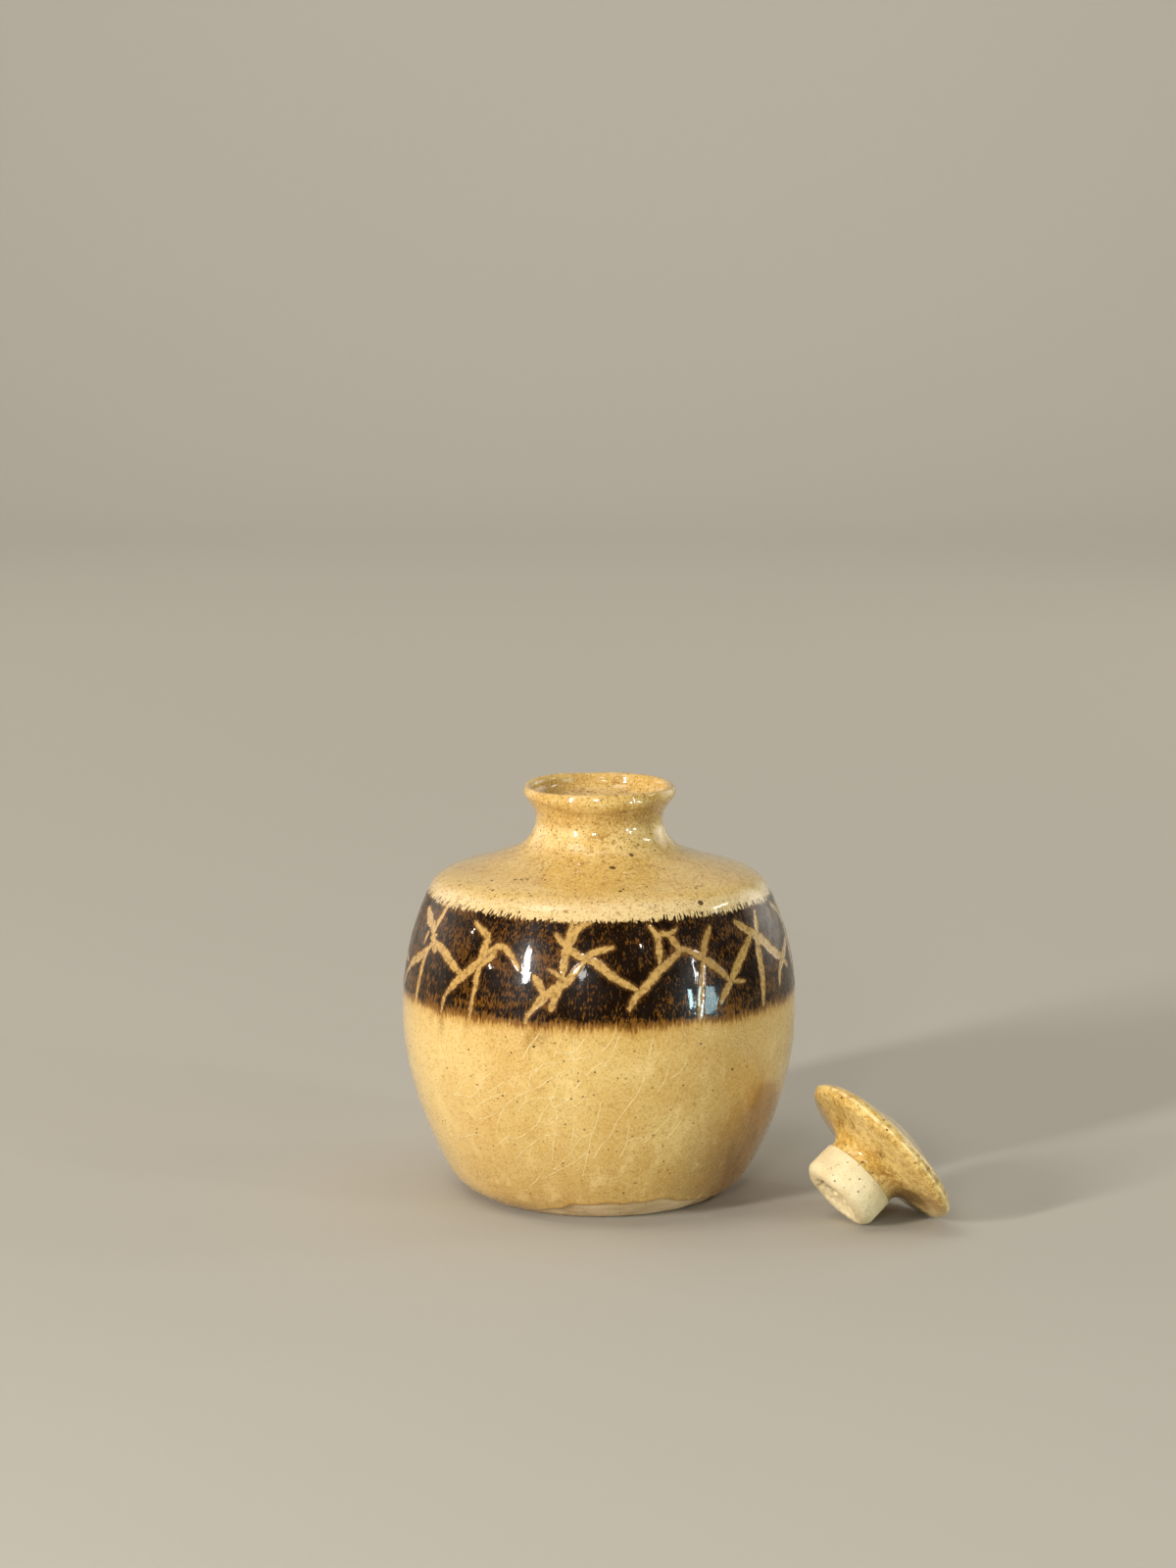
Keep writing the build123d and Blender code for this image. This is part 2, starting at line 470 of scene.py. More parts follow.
# Fine cracks in the belly's glaze, read off the photograph in its pixels
cracks_seen = [
    [
        (506, 1158), (508, 1146), (511, 1137), (515, 1130), (521, 1124), (528, 1119), (536, 1115),
        (544, 1112),
    ],
    [(544, 1112), (552, 1108), (558, 1103), (565, 1099), (571, 1095), (578, 1092), (588, 1092)],
    [(484, 1140), (486, 1131), (492, 1125), (500, 1121), (507, 1118), (515, 1116)],
    [(490, 1142), (498, 1140), (504, 1137)],
    [(462, 1119), (468, 1112), (472, 1105), (479, 1101)],
    [(463, 1118), (471, 1118), (481, 1119), (486, 1115), (491, 1107), (494, 1100), (500, 1096)],
    [(500, 1114), (507, 1109), (512, 1105)],
    [(529, 1135), (533, 1128), (538, 1123), (546, 1121), (556, 1120), (568, 1120), (581, 1121)],
    [
        (520, 1163), (529, 1161), (536, 1157), (543, 1152), (549, 1146), (552, 1138), (556, 1132),
        (561, 1126),
    ],
    [(561, 1126), (564, 1119), (567, 1111), (570, 1104), (568, 1098)],
    [(565, 1130), (572, 1127), (580, 1122)],
    [(547, 1093), (553, 1087), (562, 1085), (572, 1084), (583, 1081), (594, 1080), (604, 1077)],
    [(604, 1077), (612, 1073), (619, 1068), (624, 1061), (629, 1052)],
    [(535, 1078), (540, 1068), (546, 1060), (553, 1051)],
    [(566, 1076), (569, 1068), (573, 1059), (576, 1050)],
    [(530, 1064), (533, 1055), (534, 1046)],
    [(568, 1074), (580, 1075), (588, 1072), (592, 1067), (595, 1062)],
    [(585, 1059), (586, 1071)],
    [(564, 1141), (573, 1137), (580, 1131), (588, 1128), (593, 1124), (597, 1118)],
    [(562, 1126), (567, 1132), (568, 1143), (567, 1156), (565, 1168), (564, 1182)],
    [(528, 1181), (536, 1173), (545, 1166), (553, 1160), (561, 1158), (570, 1158)],
    [(505, 1171), (512, 1165), (519, 1159)],
    [(458, 1157), (466, 1160), (476, 1160), (486, 1158), (496, 1161)],
    [(556, 1202), (567, 1196), (578, 1190), (590, 1183), (600, 1174)],
    [(566, 1192), (574, 1185), (582, 1176), (588, 1168), (595, 1160), (602, 1157)],
    [(595, 1198), (598, 1186), (601, 1172), (604, 1158), (608, 1148), (611, 1137), (613, 1126)],
    [(584, 1162), (586, 1151), (587, 1141)],
    [(607, 1180), (612, 1171), (619, 1162), (625, 1155), (628, 1147), (633, 1139), (640, 1130)],
    [(640, 1130), (646, 1122), (651, 1115), (655, 1106), (658, 1098)],
    [(633, 1180), (638, 1170), (641, 1158), (641, 1144)],
    [(618, 1086), (623, 1078), (627, 1070), (631, 1060)],
    [(663, 1073), (666, 1062)],
    [(672, 1112), (677, 1104), (681, 1094), (684, 1084)],
    [(686, 1099), (692, 1095), (697, 1090), (700, 1082)],
    [(660, 1164), (669, 1154), (677, 1146), (683, 1139)],
    [(682, 1160), (689, 1151), (694, 1144)],
    [(600, 1096), (606, 1090), (612, 1086)],
    [(642, 1163), (651, 1161), (660, 1160)],
    [(585, 1112), (590, 1108), (593, 1103)],
    [(540, 1107), (542, 1096), (548, 1089)],
    [(538, 1214), (546, 1206), (553, 1198)],
]
# How far from a crack and from a stroke the distance to it is counted
crack_reach = 2.0
stroke_reach = 3.0
# The share of the belly's radius to which cracks are seen on each side
crack_side_share = 0.85


def nearest(points, places, chosen):
    """For each chosen point, its index, that of the nearest place, and the gap between them."""
    tree = kdtree.KDTree(len(places))
    for index, place in enumerate(places):
        tree.insert(place, index)
    tree.balance()
    for index in np.nonzero(chosen)[0]:
        _, which, gap = tree.find(points[index])
        yield index, which, gap


def crack_distances(points):
    """How far each point lies from the nearest crack: to which side, and plainly."""
    places = []
    sides = []
    for crack in cracks_seen:
        samples = follow_stroke(0, [seen_on_jar(*pixel) for pixel in crack])
        line = np.array([place for place, _ in samples])
        side = np.cross(np.gradient(line, axis=0), line * (1, 1, 0))
        sides.append(side / np.linalg.norm(side, axis=1, keepdims=True))
        places.append(line)
    places = np.vstack(places)
    sides = np.vstack(sides)
    flat = points.reshape(-1, 3)
    x, y, z = flat.T
    near = (y < 0) & (z < band_bottom + crack_reach) & (np.abs(x) < belly_radius * crack_side_share)
    signed = np.full(len(flat), crack_reach)
    plain = np.full(len(flat), crack_reach)
    for index, which, gap in nearest(flat, places, near):
        plain[index] = min(gap, crack_reach)
        beside = (flat[index] - places[which]) @ sides[which]
        signed[index] = np.clip(beside, -crack_reach, crack_reach)
    shape = points.shape[:-1]
    return signed.reshape(shape), plain.reshape(shape)


def from_strokes(points):
    """How far each point is from the edge of the nearest stroke, negative within it."""
    places, halves = zip(*stroke_samples())
    flat = points.reshape(-1, 3)
    near = (flat[:, 2] > band_bottom - 2 * stroke_reach) & (flat[:, 2] < shoulder_height)
    distance = np.full(len(flat), stroke_reach)
    for index, which, gap in nearest(flat, places, near):
        distance[index] = min(gap - halves[which], stroke_reach)
    return distance.reshape(points.shape[:-1])


# The wavy lower edge of the belly's glaze: read off the photograph in its pixels from left to
# right, and as angle and height further round
edge_seen = [
    (500, 1226), (520, 1231), (545, 1235), (574, 1234), (583, 1230), (600, 1231), (620, 1230),
    (637, 1230), (646, 1228), (655, 1229), (663, 1227), (675, 1225), (690, 1226), (705, 1226),
    (716, 1224), (726, 1221), (736, 1217), (746, 1212),
]
edge_behind = [
    (88, 2.4), (104, 3.6), (118, 3.1), (140, 1.5), (160, 1.2), (200, 2.2), (240, 1.6), (270, 2.4),
]


def glaze_edge_s(angle):
    """Length along the section of the glaze's lower edge at an angle."""
    below = jar.length <= band_bottom_s
    places = [seen_on_jar(x, y) for x, y in edge_seen]
    for turn, height in edge_behind:
        places.append((turn, np.interp(height, jar.points[below, 1], jar.length[below])))
    places = np.array(places)
    edge = np.interp(angle, places[:, 0], places[:, 1], period=360)
    turn = np.radians(angle)
    edge = edge + 0.12 * np.sin(17 * turn + 1) + 0.08 * np.sin(31 * turn) + 0.05 * np.sin(67 * turn)
    kernel = np.hanning(9)
    kernel /= kernel.sum()
    wrapped = np.concatenate([edge[-4:], edge, edge[:4]])
    return np.maximum(np.convolve(wrapped, kernel, mode="valid"), 0.6)


# How far below its widest place the lip's outer roll ends, round the jar: angle and length
lip_roll = [
    (-180, 1.4), (-70, 1.3), (-50, 1.7), (-25, 3.0), (-5, 3.4), (15, 3.0), (40, 2.0), (60, 1.5),
    (180, 1.4),
]


def clay_depth(s):
    """How deep the clay lies under the coats. At the foot they run out."""
    return glaze * np.clip(s / bare_s, 0, 1)


def body_wobble(angle, s, points):
    """The hand-thrown unevenness that clay and coats share."""
    turn = np.radians(angle)
    steady = ease(s, 0.5, 12)
    oval = 0.1 * np.cos(2 * turn - 0.7) + 0.07 * np.cos(3 * turn + 0.5)
    thrown = 0.004 * np.sin(2 * pi * s / 3.3 + turn + 1.5 * np.sin(s / 9))
    soft = 0.05 * ripple(points, 26, 3) + 0.012 * ripple(points, 9, 4)
    lip = -0.28 * np.cos(turn) + 0.07 * np.sin(3 * turn + 1.1)
    lip = lip + 0.05 * np.sin(5 * turn + 0.3) + 0.03 * np.sin(9 * turn)
    at_lip = ease(s, lip_s - 4, lip_s) * (1 - ease(s, mouth_s, mouth_s + 3))
    keep_throat = 1 - ease(s, mouth_s, throat_s - 1)
    turn_places, below_lip = zip(*lip_roll)
    crease = lip_s - np.interp(angle, turn_places, below_lip)
    roll = 0.2 * ease(s, crease - 0.3, crease + 0.4) * (1 - ease(s, lip_s - 1.2, lip_s + 0.4))
    return (oval + thrown + soft) * steady * keep_throat + lip * at_lip + roll


def coat_relief(angle, s, points, stroke):
    """How far the glaze stands off the jar's section."""
    fine = 0.0025 * ripple(points, 3.4, 5)
    groove = 0.035 * (1 - ease(stroke, -0.3, 0.16)) - 0.01 * bell((stroke - 0.3) / 0.25)
    band = ease(s, band_bottom_s - 0.8, band_bottom_s + 0.6)
    band = band * (1 - ease(s, band_top_s - 0.5, band_top_s + 0.7))
    return body_wobble(angle, s, points) + fine - groove + 0.05 * band


def foot_roll(above_edge, depth):
    """The glaze's rounded lower edge, which comes down to the clay and is thicker just above."""
    roll = 0.12 * bell((above_edge - 1.1) / 0.8) * np.clip(above_edge / 0.5, 0, 1)
    return roll - rounded(above_edge / 0.9, depth)


# Meshes

def grid_normals(grid):
    """Unit normals of a grid of points that closes on itself round the columns."""
    along = np.roll(grid, -1, axis=1) - np.roll(grid, 1, axis=1)
    up = np.empty_like(grid)
    up[1:-1] = grid[2:] - grid[:-2]
    up[0] = grid[1] - grid[0]
    up[-1] = grid[-1] - grid[-2]
    normal = np.cross(along, up)
    size = np.linalg.norm(normal, axis=2, keepdims=True)
    return normal / np.maximum(size, 1e-12)


def turned_mesh(name, rows, normals, closed, attributes):
    """A mesh of rows of points round an axis.

    normals are those of its first rows, the ones that show. closed joins the last row to the
    first, and otherwise the first and last rows each shrink to a point. attributes holds
    values for the points of its first rows."""
    count, columns, _ = rows.shape
    index = np.arange(count * columns).reshape(count, columns)
    ways = np.zeros(rows.shape)
    ways[: len(normals)] = normals
    if not closed:
        for pole in (0, -1):
            index[pole] = index[pole, 0]
            ways[pole] = 0
    used, number = np.unique(index, return_inverse=True)
    number = number.reshape(index.shape)
    ways = ways.reshape(-1, 3)[used]
    faces = []
    loops = []
    for low in range(count if closed else count - 1):
        high = (low + 1) % count
        first, last = number[low], number[high]
        corners = np.stack([first, np.roll(first, -1), np.roll(last, -1), last], axis=1)
        if not closed and low == 0:
            corners = corners[:, [0, 2, 3]]
        elif not closed and high == count - 1:
            corners = corners[:, [0, 1, 2]]
        faces += corners.tolist()
        known = low < high < len(normals)
        loops.append(ways[corners.ravel()] if known else np.zeros((corners.size, 3)))
    mesh = smooth_mesh(name, (rows.reshape(-1, 3)[used] * metres).tolist(), faces)
    mesh.normals_split_custom_set(np.vstack(loops))
    for key, values in attributes.items():
        full = np.zeros(index.shape + values.shape[2:])
        full[: len(values)] = values
        full[len(values) :] = full[0, 0]
        kind, field = ("FLOAT_VECTOR", "vector") if values.ndim == 3 else ("FLOAT", "value")
        data = mesh.attributes.new(key, kind, "POINT").data
        data.foreach_set(field, full.reshape(index.size, -1)[used].ravel())
    return put(name, mesh)


def smooth_mesh(name, vertices, faces):
    """A mesh with smooth shading."""
    mesh = bpy.data.meshes.new(name)
    mesh.from_pydata(vertices, [], faces)
    mesh.shade_smooth()
    return mesh


def put(name, data):
    """A new object in the scene, with its data."""
    obj = bpy.data.objects.new(name, data)
    bpy.context.scene.collection.objects.link(obj)
    return obj


def spread(start, *stretches):
    """Lengths from a start through stretches that each have a step and an end."""
    rows = [[start]]
    for step, end in stretches:
        rows.append(np.linspace(start, end, max(2, round((end - start) / step) + 1))[1:])
        start = end
    return np.concatenate(rows)


jar_angles = np.linspace(-180, 180, jar_columns, endpoint=False)


def jar_coat(name, rows, shown, inner_rows, depth, lift=0.0, **more):
    """A thin coat of the jar.

    rows are the lengths of its outside, with some beyond its ends that serve only the
    normals. shown picks those that are within it. inner_rows are the lengths of its inside,
    which lies at a depth, lift raises its outside, and more holds values of its own."""
    s, angle, base = rings(jar, rows, jar_angles)
    stroke = from_strokes(base)
    grid = on_ring(jar, s, angle, coat_relief(angle, s, base, stroke) + lift)
    inner_s, inner_angle, inner_base = rings(jar, inner_rows, jar_angles)
    wobble = body_wobble(inner_angle, inner_s, inner_base)
    inner = on_ring(jar, inner_s, inner_angle, wobble - depth)
    crack_side, crack_gap = crack_distances(base)
    unrolled = np.stack([np.radians(angle) * belly_radius, s, np.zeros_like(s)], axis=-1)
    values = {
        "stroke": stroke,
        "unrolled": unrolled,
        "crack_side": crack_side,
        "crack_gap": crack_gap,
        **more,
    }
    values = {key: value[shown] for key, value in values.items()}
    whole = np.concatenate([grid[shown], inner])
    return turned_mesh(name, whole, grid_normals(grid)[shown], True, values)


def plain_coat(name, rows):
    """A coat of the jar between two lengths of its section."""
    beyond = np.concatenate([[rows[0] - row_beyond], rows, [rows[-1] + row_beyond]])
    inner_rows = np.linspace(rows[-1], rows[0], max(2, len(rows) // rows_to_inner))
    return jar_coat(name, beyond, slice(1, -1), inner_rows, glaze)


def belly_coat():
    """The glaze from its wavy edge over the foot up to the band."""
    edge = glaze_edge_s(jar_angles)
    # Shares of the way up, closer together in the rolled edge, and one beyond the end
    share = np.concatenate([
        np.linspace(0, 0.012, 5)[:-1],
        np.linspace(0.012, 0.05, 7)[:-1],
        np.linspace(0.05, 1, 82),
    ])
    share = np.append(share, share[-1] * 2 - share[-2])[:, None]
    s = edge + (band_bottom_s - edge) * share
    inner_share = np.linspace(1, 0, 14)[:, None]
    inner_s = edge + (band_bottom_s - edge) * inner_share
    depth = clay_depth(inner_s) + edge_in_clay * (inner_share < 0.01)
    lift = foot_roll(s - edge, clay_depth(s) + edge_over_clay)
    edge_near = np.exp(-(s - edge) / 0.6)
    return jar_coat("belly_coat", s, slice(0, -1), inner_s, depth, lift, edge_near=edge_near)


def foot_underside(angles):
    """The foot's underside, trimmed on the wheel, and its rounded corner."""
    middle = foot_radius - foot_corner
    base = straight((0, 0), (middle, 0), 90)
    foot = np.vstack([base, arc((middle, foot_corner), foot_corner, -90, -8, 14)])
    radius, height = foot[:, :1], foot[:, 1:]
    ring = around(radius, height, angles)
    cut = np.abs(np.sin(np.hypot(ring[..., 0] - 15, ring[..., 1] + 4) * 2 * pi / 3.2))
    hollow = 0.25 * (1 - ease(radius, 8, 21.5))
    lift = hollow + 0.1 * (1 - cut) * (1 - ease(radius, 20.5, 22.5))
    lift = lift + 0.03 * (1 + ripple(ring, 2.2, 23)) * (1 - ease(radius, 22, 23))
    ring[..., 2] += np.maximum(lift, 0)
    return ring


def jar_clay():
    """The thrown clay, whose foot and underside show."""
    angles = np.linspace(-180, 180, jar_columns // 2, endpoint=False)
    foot = foot_underside(angles)
    shown_rows = spread(foot_corner, (0.2, bare_s), (0.3, rough_end))
    hidden_rows = spread(rough_end, (1.5, lip_s), (0.4, mouth_s), (2.0, end_s))[1:]
    s, angle, places = rings(jar, np.concatenate([shown_rows, hidden_rows]), angles)
    rough = 0.03 * ripple(places, 3.1, 21) + 0.012 * ripple(places, 1.0, 22)
    rough = rough * (s < rough_end)
    walls = on_ring(jar, s, angle, body_wobble(angle, s, places) - clay_depth(s) + rough)
    walls[-1] = (0, 0, walls[-1, :, 2].mean())
    rows = np.concatenate([foot, walls])
    normals = grid_normals(rows)[: len(foot) + len(shown_rows)]
    return turned_mesh("jar_clay_body", rows, normals, False, {})


def jar_coats():
    """The four coats of the jar."""
    band = plain_coat("band_coat", spread(band_bottom_s, (band_row, band_top_s)))
    shoulder_rows = spread(band_top_s, (0.3, band_top_s + 5), (0.55, lip_s - 3), (0.28, mouth_s))
    shoulder = plain_coat("shoulder_coat", shoulder_rows)
    liner_rows = spread(mouth_s, (0.35, throat_s), (0.7, room_s), (2.6, end_s - 1.0))
    liner = plain_coat("liner_coat", liner_rows)
    return belly_coat(), band, shoulder, liner


# Stopper

def stopper_place():
    """The matrix that lays the stopper down on the edge of its plug and the rim of its cap."""
    across = (cap_radius - rim_radius) - (plug_radius - plug_edge)
    along = rim_height - plug_edge
    slope = degrees(asin((plug_edge - rim_radius) / hypot(across, along)))
    tilt = 90 - (degrees(atan2(across, along)) - slope)
    lift = plug_edge * (1 - cos(radians(tilt))) + (plug_radius - plug_edge) * sin(radians(tilt))
    turn = Matrix.Rotation(radians(stopper_turn), 4, "Z") @ Matrix.Rotation(radians(tilt), 4, "Y")
    return np.array(Matrix.Translation((stopper_x, stopper_y, lift)) @ turn)


def stopper_sections():
    """The plug's outline from the middle of its end, and the glazed outline to the cap's top."""
    corner = plug_radius - plug_edge
    dish = smooth([(0, dish_depth), (dish_radius, 0)], (1, 0), (1, -1))
    end = straight((dish_radius, 0), (corner, 0), 10)
    edge = arc((corner, plug_edge), plug_edge, -90, 0, 40)
    side = straight((plug_radius, plug_edge), (plug_radius, plug_length), 20)
    rim_middle = (cap_radius - rim_radius, rim_height)
    rim = arc(rim_middle, rim_radius, rim_start_angle, rim_end_angle)
    waist_radius = plug_radius - waist_neck_in
    waist = (waist_radius, plug_length + waist_height)
    points = [(waist_radius, plug_length), waist]
    points += between(waist, rim[0], underside_shares) + [rim[0]]
    underside = smooth(points, (0, 1), rim[1] - rim[0])
    top = (0, stopper_height)
    points = [rim[-1]] + between(rim[-1], top, dome_shares) + [top]
    dome = smooth(points, rim[-1] - rim[-2], (-1, 0))
    return Section(dish, end, edge, side), Section(underside, rim, dome)


lying = stopper_place()
plug, cap = stopper_sections()
_, _, corner_s, side_s, plug_end_s = plug.stations
cap_end_s = cap.stations[-1]
ridge_s = cap.stations[1] - radians(rim_start_angle) * rim_radius
stopper_angles = np.linspace(-180, 180, stopper_columns, endpoint=False)


@cache
def seen_on_stopper(x, y):
    """The place on the upright stopper that a pixel of the photograph shows on the lying one."""
    profile = np.vstack([plug.points[plug.length >= corner_s], cap.points])
    upright = (along_ray(x, y, *stopper_reach) - lying[:3, 3]) @ lying[:3, :3]
    radius = np.interp(upright[:, 2], profile[:, 1], profile[:, 0], left=-1, right=-1)
    return tuple(first_within(upright, radius).tolist())


def laid(points):
    """Points of the upright stopper, where it lies."""
    return points @ lying[:3, :3].T + lying[:3, 3]


def stopper_mesh(name, rows, closed, attributes, *hidden_rows):
    """A mesh of the upright stopper's rows, laid down. Only the rows that show need normals."""
    ways = laid(grid_normals(rows)) - laid(np.zeros(3))
    return turned_mesh(name, laid(np.concatenate([rows, *hidden_rows])), ways, closed, attributes)


def stopper_wobble(points):
    """The stopper's hand-made unevenness."""
    return 0.06 * ripple(points, 13, 41) + 0.02 * ripple(points, 5, 42)


def under_coat(rows):
    """The surface between the cap's clay and its glaze."""
    s, angle, base = rings(cap, rows, stopper_angles)
    return on_ring(cap, s, angle, stopper_wobble(base) - stopper_glaze)


def end_gouge(places):
    """The uneven hollow scraped into the plug's end."""
    x, y = places[..., 0], places[..., 1]
    scoop = 0.5 * bell(x / 4.2, y / 4.0)
    pit = 0.9 * bell((x + 2.3) / 0.8, (y - 1.2) / 1.3)
    groove = 0.5 * bell((x - 0.4) / 2.6, (y + 1.9 - 0.3 * x) / 0.5)
    ridge = 0.6 * bell((x - 0.2) / 0.7, (y - 1.1) / 0.7)
    knob = 0.6 * bell((x - 2.3 - 0.9 * y) / 0.8, (y + 0.7) / 0.9)
    return scoop + pit + groove - ridge - knob + 0.07 * ripple(places, 1.7, 54)


def stopper_body():
    """The bare plug, and the clay inside the cap's glaze."""
    plug_rows = spread(0, (0.22, corner_s), (0.2, side_s), (0.22, plug_end_s))
    s, angle, places = rings(plug, plug_rows, stopper_angles)
    radius = np.hypot(places[..., 0], places[..., 1])
    rough = 0.05 * ripple(places, 5.5, 51) + 0.022 * ripple(places, 1.6, 52)
    rough = rough + 0.01 * ripple(places, 0.7, 53) - plug_worn
    grid = on_ring(plug, s, angle, rough - end_gouge(places) * (1 - ease(radius, 4.8, 6.6)))
    grid[0] = grid[0].mean(axis=0)
    hidden = under_coat(spread(0, (1.0, cap_end_s)))
    hidden[-1] = hidden[-1].mean(axis=0)
    return stopper_mesh("stopper_body", grid, False, {"upright": places}, hidden)


def stopper_coat():
    """The glaze over the waist and the cap."""
    s, angle, base = rings(cap, spread(0, (0.16, 2.4), (0.27, cap_end_s)), stopper_angles)
    ridge = 0.2 * bell((s - ridge_s) / 0.26)
    ridge = ridge * (0.8 + 0.2 * ripple(base, 4, 45) + 0.22 * ripple(base, 1.1, 46))
    turn = np.radians(angle)
    start = 0.15 + 0.12 * np.sin(3 * turn + 1) + 0.08 * np.sin(7 * turn)
    fine = 0.008 * ripple(base, 2.4, 43) + 0.003 * ripple(base, 1.0, 44)
    rise = stopper_wobble(base) + fine + ridge - rounded((s + start) / 0.7, stopper_glaze)
    grid = on_ring(cap, s, angle, rise)
    grid[-1] = grid[-1].mean(axis=0)
    inner = under_coat(np.linspace(cap_end_s, 0, 36))
    inner[0] = inner[0].mean(axis=0)
    return stopper_mesh("stopper_coat", grid, True, {"along_cap": s, "upright": base}, inner)


# Materials

def colour(red, green, blue):
    """A colour written in the 0 to 255 values that a screen shows."""
    linear = []
    for value in (red, green, blue):
        value /= 255
        linear.append(value / 12.92 if value <= 0.04045 else ((value + 0.055) / 1.055) ** 2.4)
    return (*linear, 1.0)


class Finish:
    """One material: short ways to add the nodes that it needs, and the colour painted so far."""

    def __init__(self, name, tone):
        self.material = bpy.data.materials.new(name)
        self.material.use_nodes = True
        self.tree = self.material.node_tree
        self.tree.nodes.clear()
        place = self.node("ShaderNodeTexCoord").outputs["Object"]
        self.place = self.vector("MULTIPLY", place, (1 / metres,) * 3)
        self.x, self.y, self.z = self.split(self.place)
        self.tone = tone

    def node(self, kind, inputs=(), **settings):
        """A node with its settings, and with a number or another node's output in its inputs."""
        node = self.tree.nodes.new(kind)
        for key, value in settings.items():
            setattr(node, key, value)
        for key, value in inputs.items() if isinstance(inputs, dict) else enumerate(inputs):
            if isinstance(value, bpy.types.NodeSocket):
                self.tree.links.new(value, node.inputs[key])
            else:
                node.inputs[key].default_value = value
        return node

    def math(self, operation, *values):
        return self.node("ShaderNodeMath", values, operation=operation).outputs[0]

    def vector(self, operation, *values):
        return self.node("ShaderNodeVectorMath", values, operation=operation).outputs["Vector"]

    def distance(self, *places):
        return self.node("ShaderNodeVectorMath", places, operation="DISTANCE").outputs["Value"]

    def times(self, *values):
        return reduce(partial(self.math, "MULTIPLY"), values)

    def plus(self, *values):
        return reduce(partial(self.math, "ADD"), values)

    def least(self, values):
        return reduce(partial(self.math, "MINIMUM"), values)

    def minus(self, first, second):
        return self.math("SUBTRACT", first, second)

    def absolute(self, value):
        return self.math("ABSOLUTE", value)

    def split(self, vector):
        """The three parts of a vector."""
        return self.node("ShaderNodeSeparateXYZ", [vector]).outputs

    def attribute(self, name, output="Fac"):
        return self.node("ShaderNodeAttribute", attribute_name=name).outputs[output]

    def noise(self, size, place=None, detail=2.0, roughness=0.5, output="Fac"):
        """Smooth noise, from 0 to 1, whose blotches are about one size wide."""
        place = self.place if place is None else place
        inputs = {"Vector": place, "Scale": 1 / size, "Detail": detail, "Roughness": roughness}
        return self.node("ShaderNodeTexNoise", inputs).outputs[output]

    def sway(self, width, *size, **settings):
        """Noise about zero, so wide from its least to its most."""
        return self.times(self.minus(self.noise(*size, **settings), 0.5), width)

    def warped(self, start, width, *size, **settings):
        """A place pushed about by noise."""
        push = self.vector("SUBTRACT", self.noise(*size, output="Color", **settings), (0.5,) * 3)
        return self.vector("MULTIPLY_ADD", push, width, start)

    def stretched(self, across, climb):
        """The place with its sides and its height scaled, for grain that runs one way."""
        return self.vector("MULTIPLY", self.place, (across, across, climb))

    def ramp(self, value, low, high, start=0.0, end=1.0):
        """start where value is low, end where it is high, and eased between."""
        inputs = (value, low, high, start, end)
        return self.node("ShaderNodeMapRange", inputs, interpolation_type="SMOOTHSTEP").outputs[0]

    def mix(self, share, first, second):
        inputs = {"Factor": share, 6: first, 7: second}
        return self.node("ShaderNodeMix", inputs, data_type="RGBA").outputs[2]

    def paint(self, tint, *shares):
        """Lays a colour over what is painted so far, as thick as the shares' product."""
        self.tone = self.mix(self.times(*shares), self.tone, tint)

    def dots(self, size, radius, share, seed=0.0):
        """Round specks about one size apart, of which a share is there."""
        place = self.vector("ADD", self.place, (seed, seed * 1.7, seed * 0.6))
        place = self.warped(place, (radius * 2.2,) * 3, radius * 3)
        cells = self.node("ShaderNodeTexVoronoi", {"Vector": place, "Scale": 1 / size})
        pick = self.node("ShaderNodeSeparateColor", [cells.outputs["Color"]])
        there = self.math("LESS_THAN", pick.outputs[0], share)
        bigness = self.math("MULTIPLY_ADD", pick.outputs[1], 0.7, 0.5)
        gap = self.math("DIVIDE", cells.outputs["Distance"], bigness)
        return self.times(self.ramp(gap, radius / size * 1.25, radius / size * 0.7), there)

    def marks(self, place, seen, pixels, scale=1.0):
        """Small marks of uneven outline at pixels of the photograph, with scaled radii."""
        place = self.warped(place, (0.3,) * 3, 0.6, place=place)
        gaps = [
            self.minus(self.distance(place, seen(x, y)), radius * scale)
            for x, y, radius in pixels
        ]
        return self.ramp(self.least(gaps), 0.07, -0.1)

    def spot(self, middle, radius, soft, height=1.0):
        """A soft round patch about a place, taller where height is over 1."""
        x, y, z = middle
        gap = self.distance(self.stretched(1, 1 / height), (x, y, z / height))
        return self.ramp(gap, radius + soft, radius - soft)

    def finish(self, roughness, height, coat=1.0, coat_roughness=0.03):
        """Joins colour, roughness and relief, whose height is in millimetres, to the shader."""
        bump = self.node("ShaderNodeBump", {"Strength": 1.0, "Distance": metres, "Height": height})
        shader = self.node("ShaderNodeBsdfPrincipled", {
            "Base Color": self.tone,
            "Roughness": roughness,
            "IOR": 1.5,
            "Specular IOR Level": 0.08,
            "Normal": bump.outputs[0],
            "Coat Weight": coat,
            "Coat Roughness": coat_roughness,
            "Coat IOR": 1.33,
            "Coat Normal": bump.outputs[0],
        })
        self.node("ShaderNodeOutputMaterial", {"Surface": shader.outputs[0]})
        return self.material


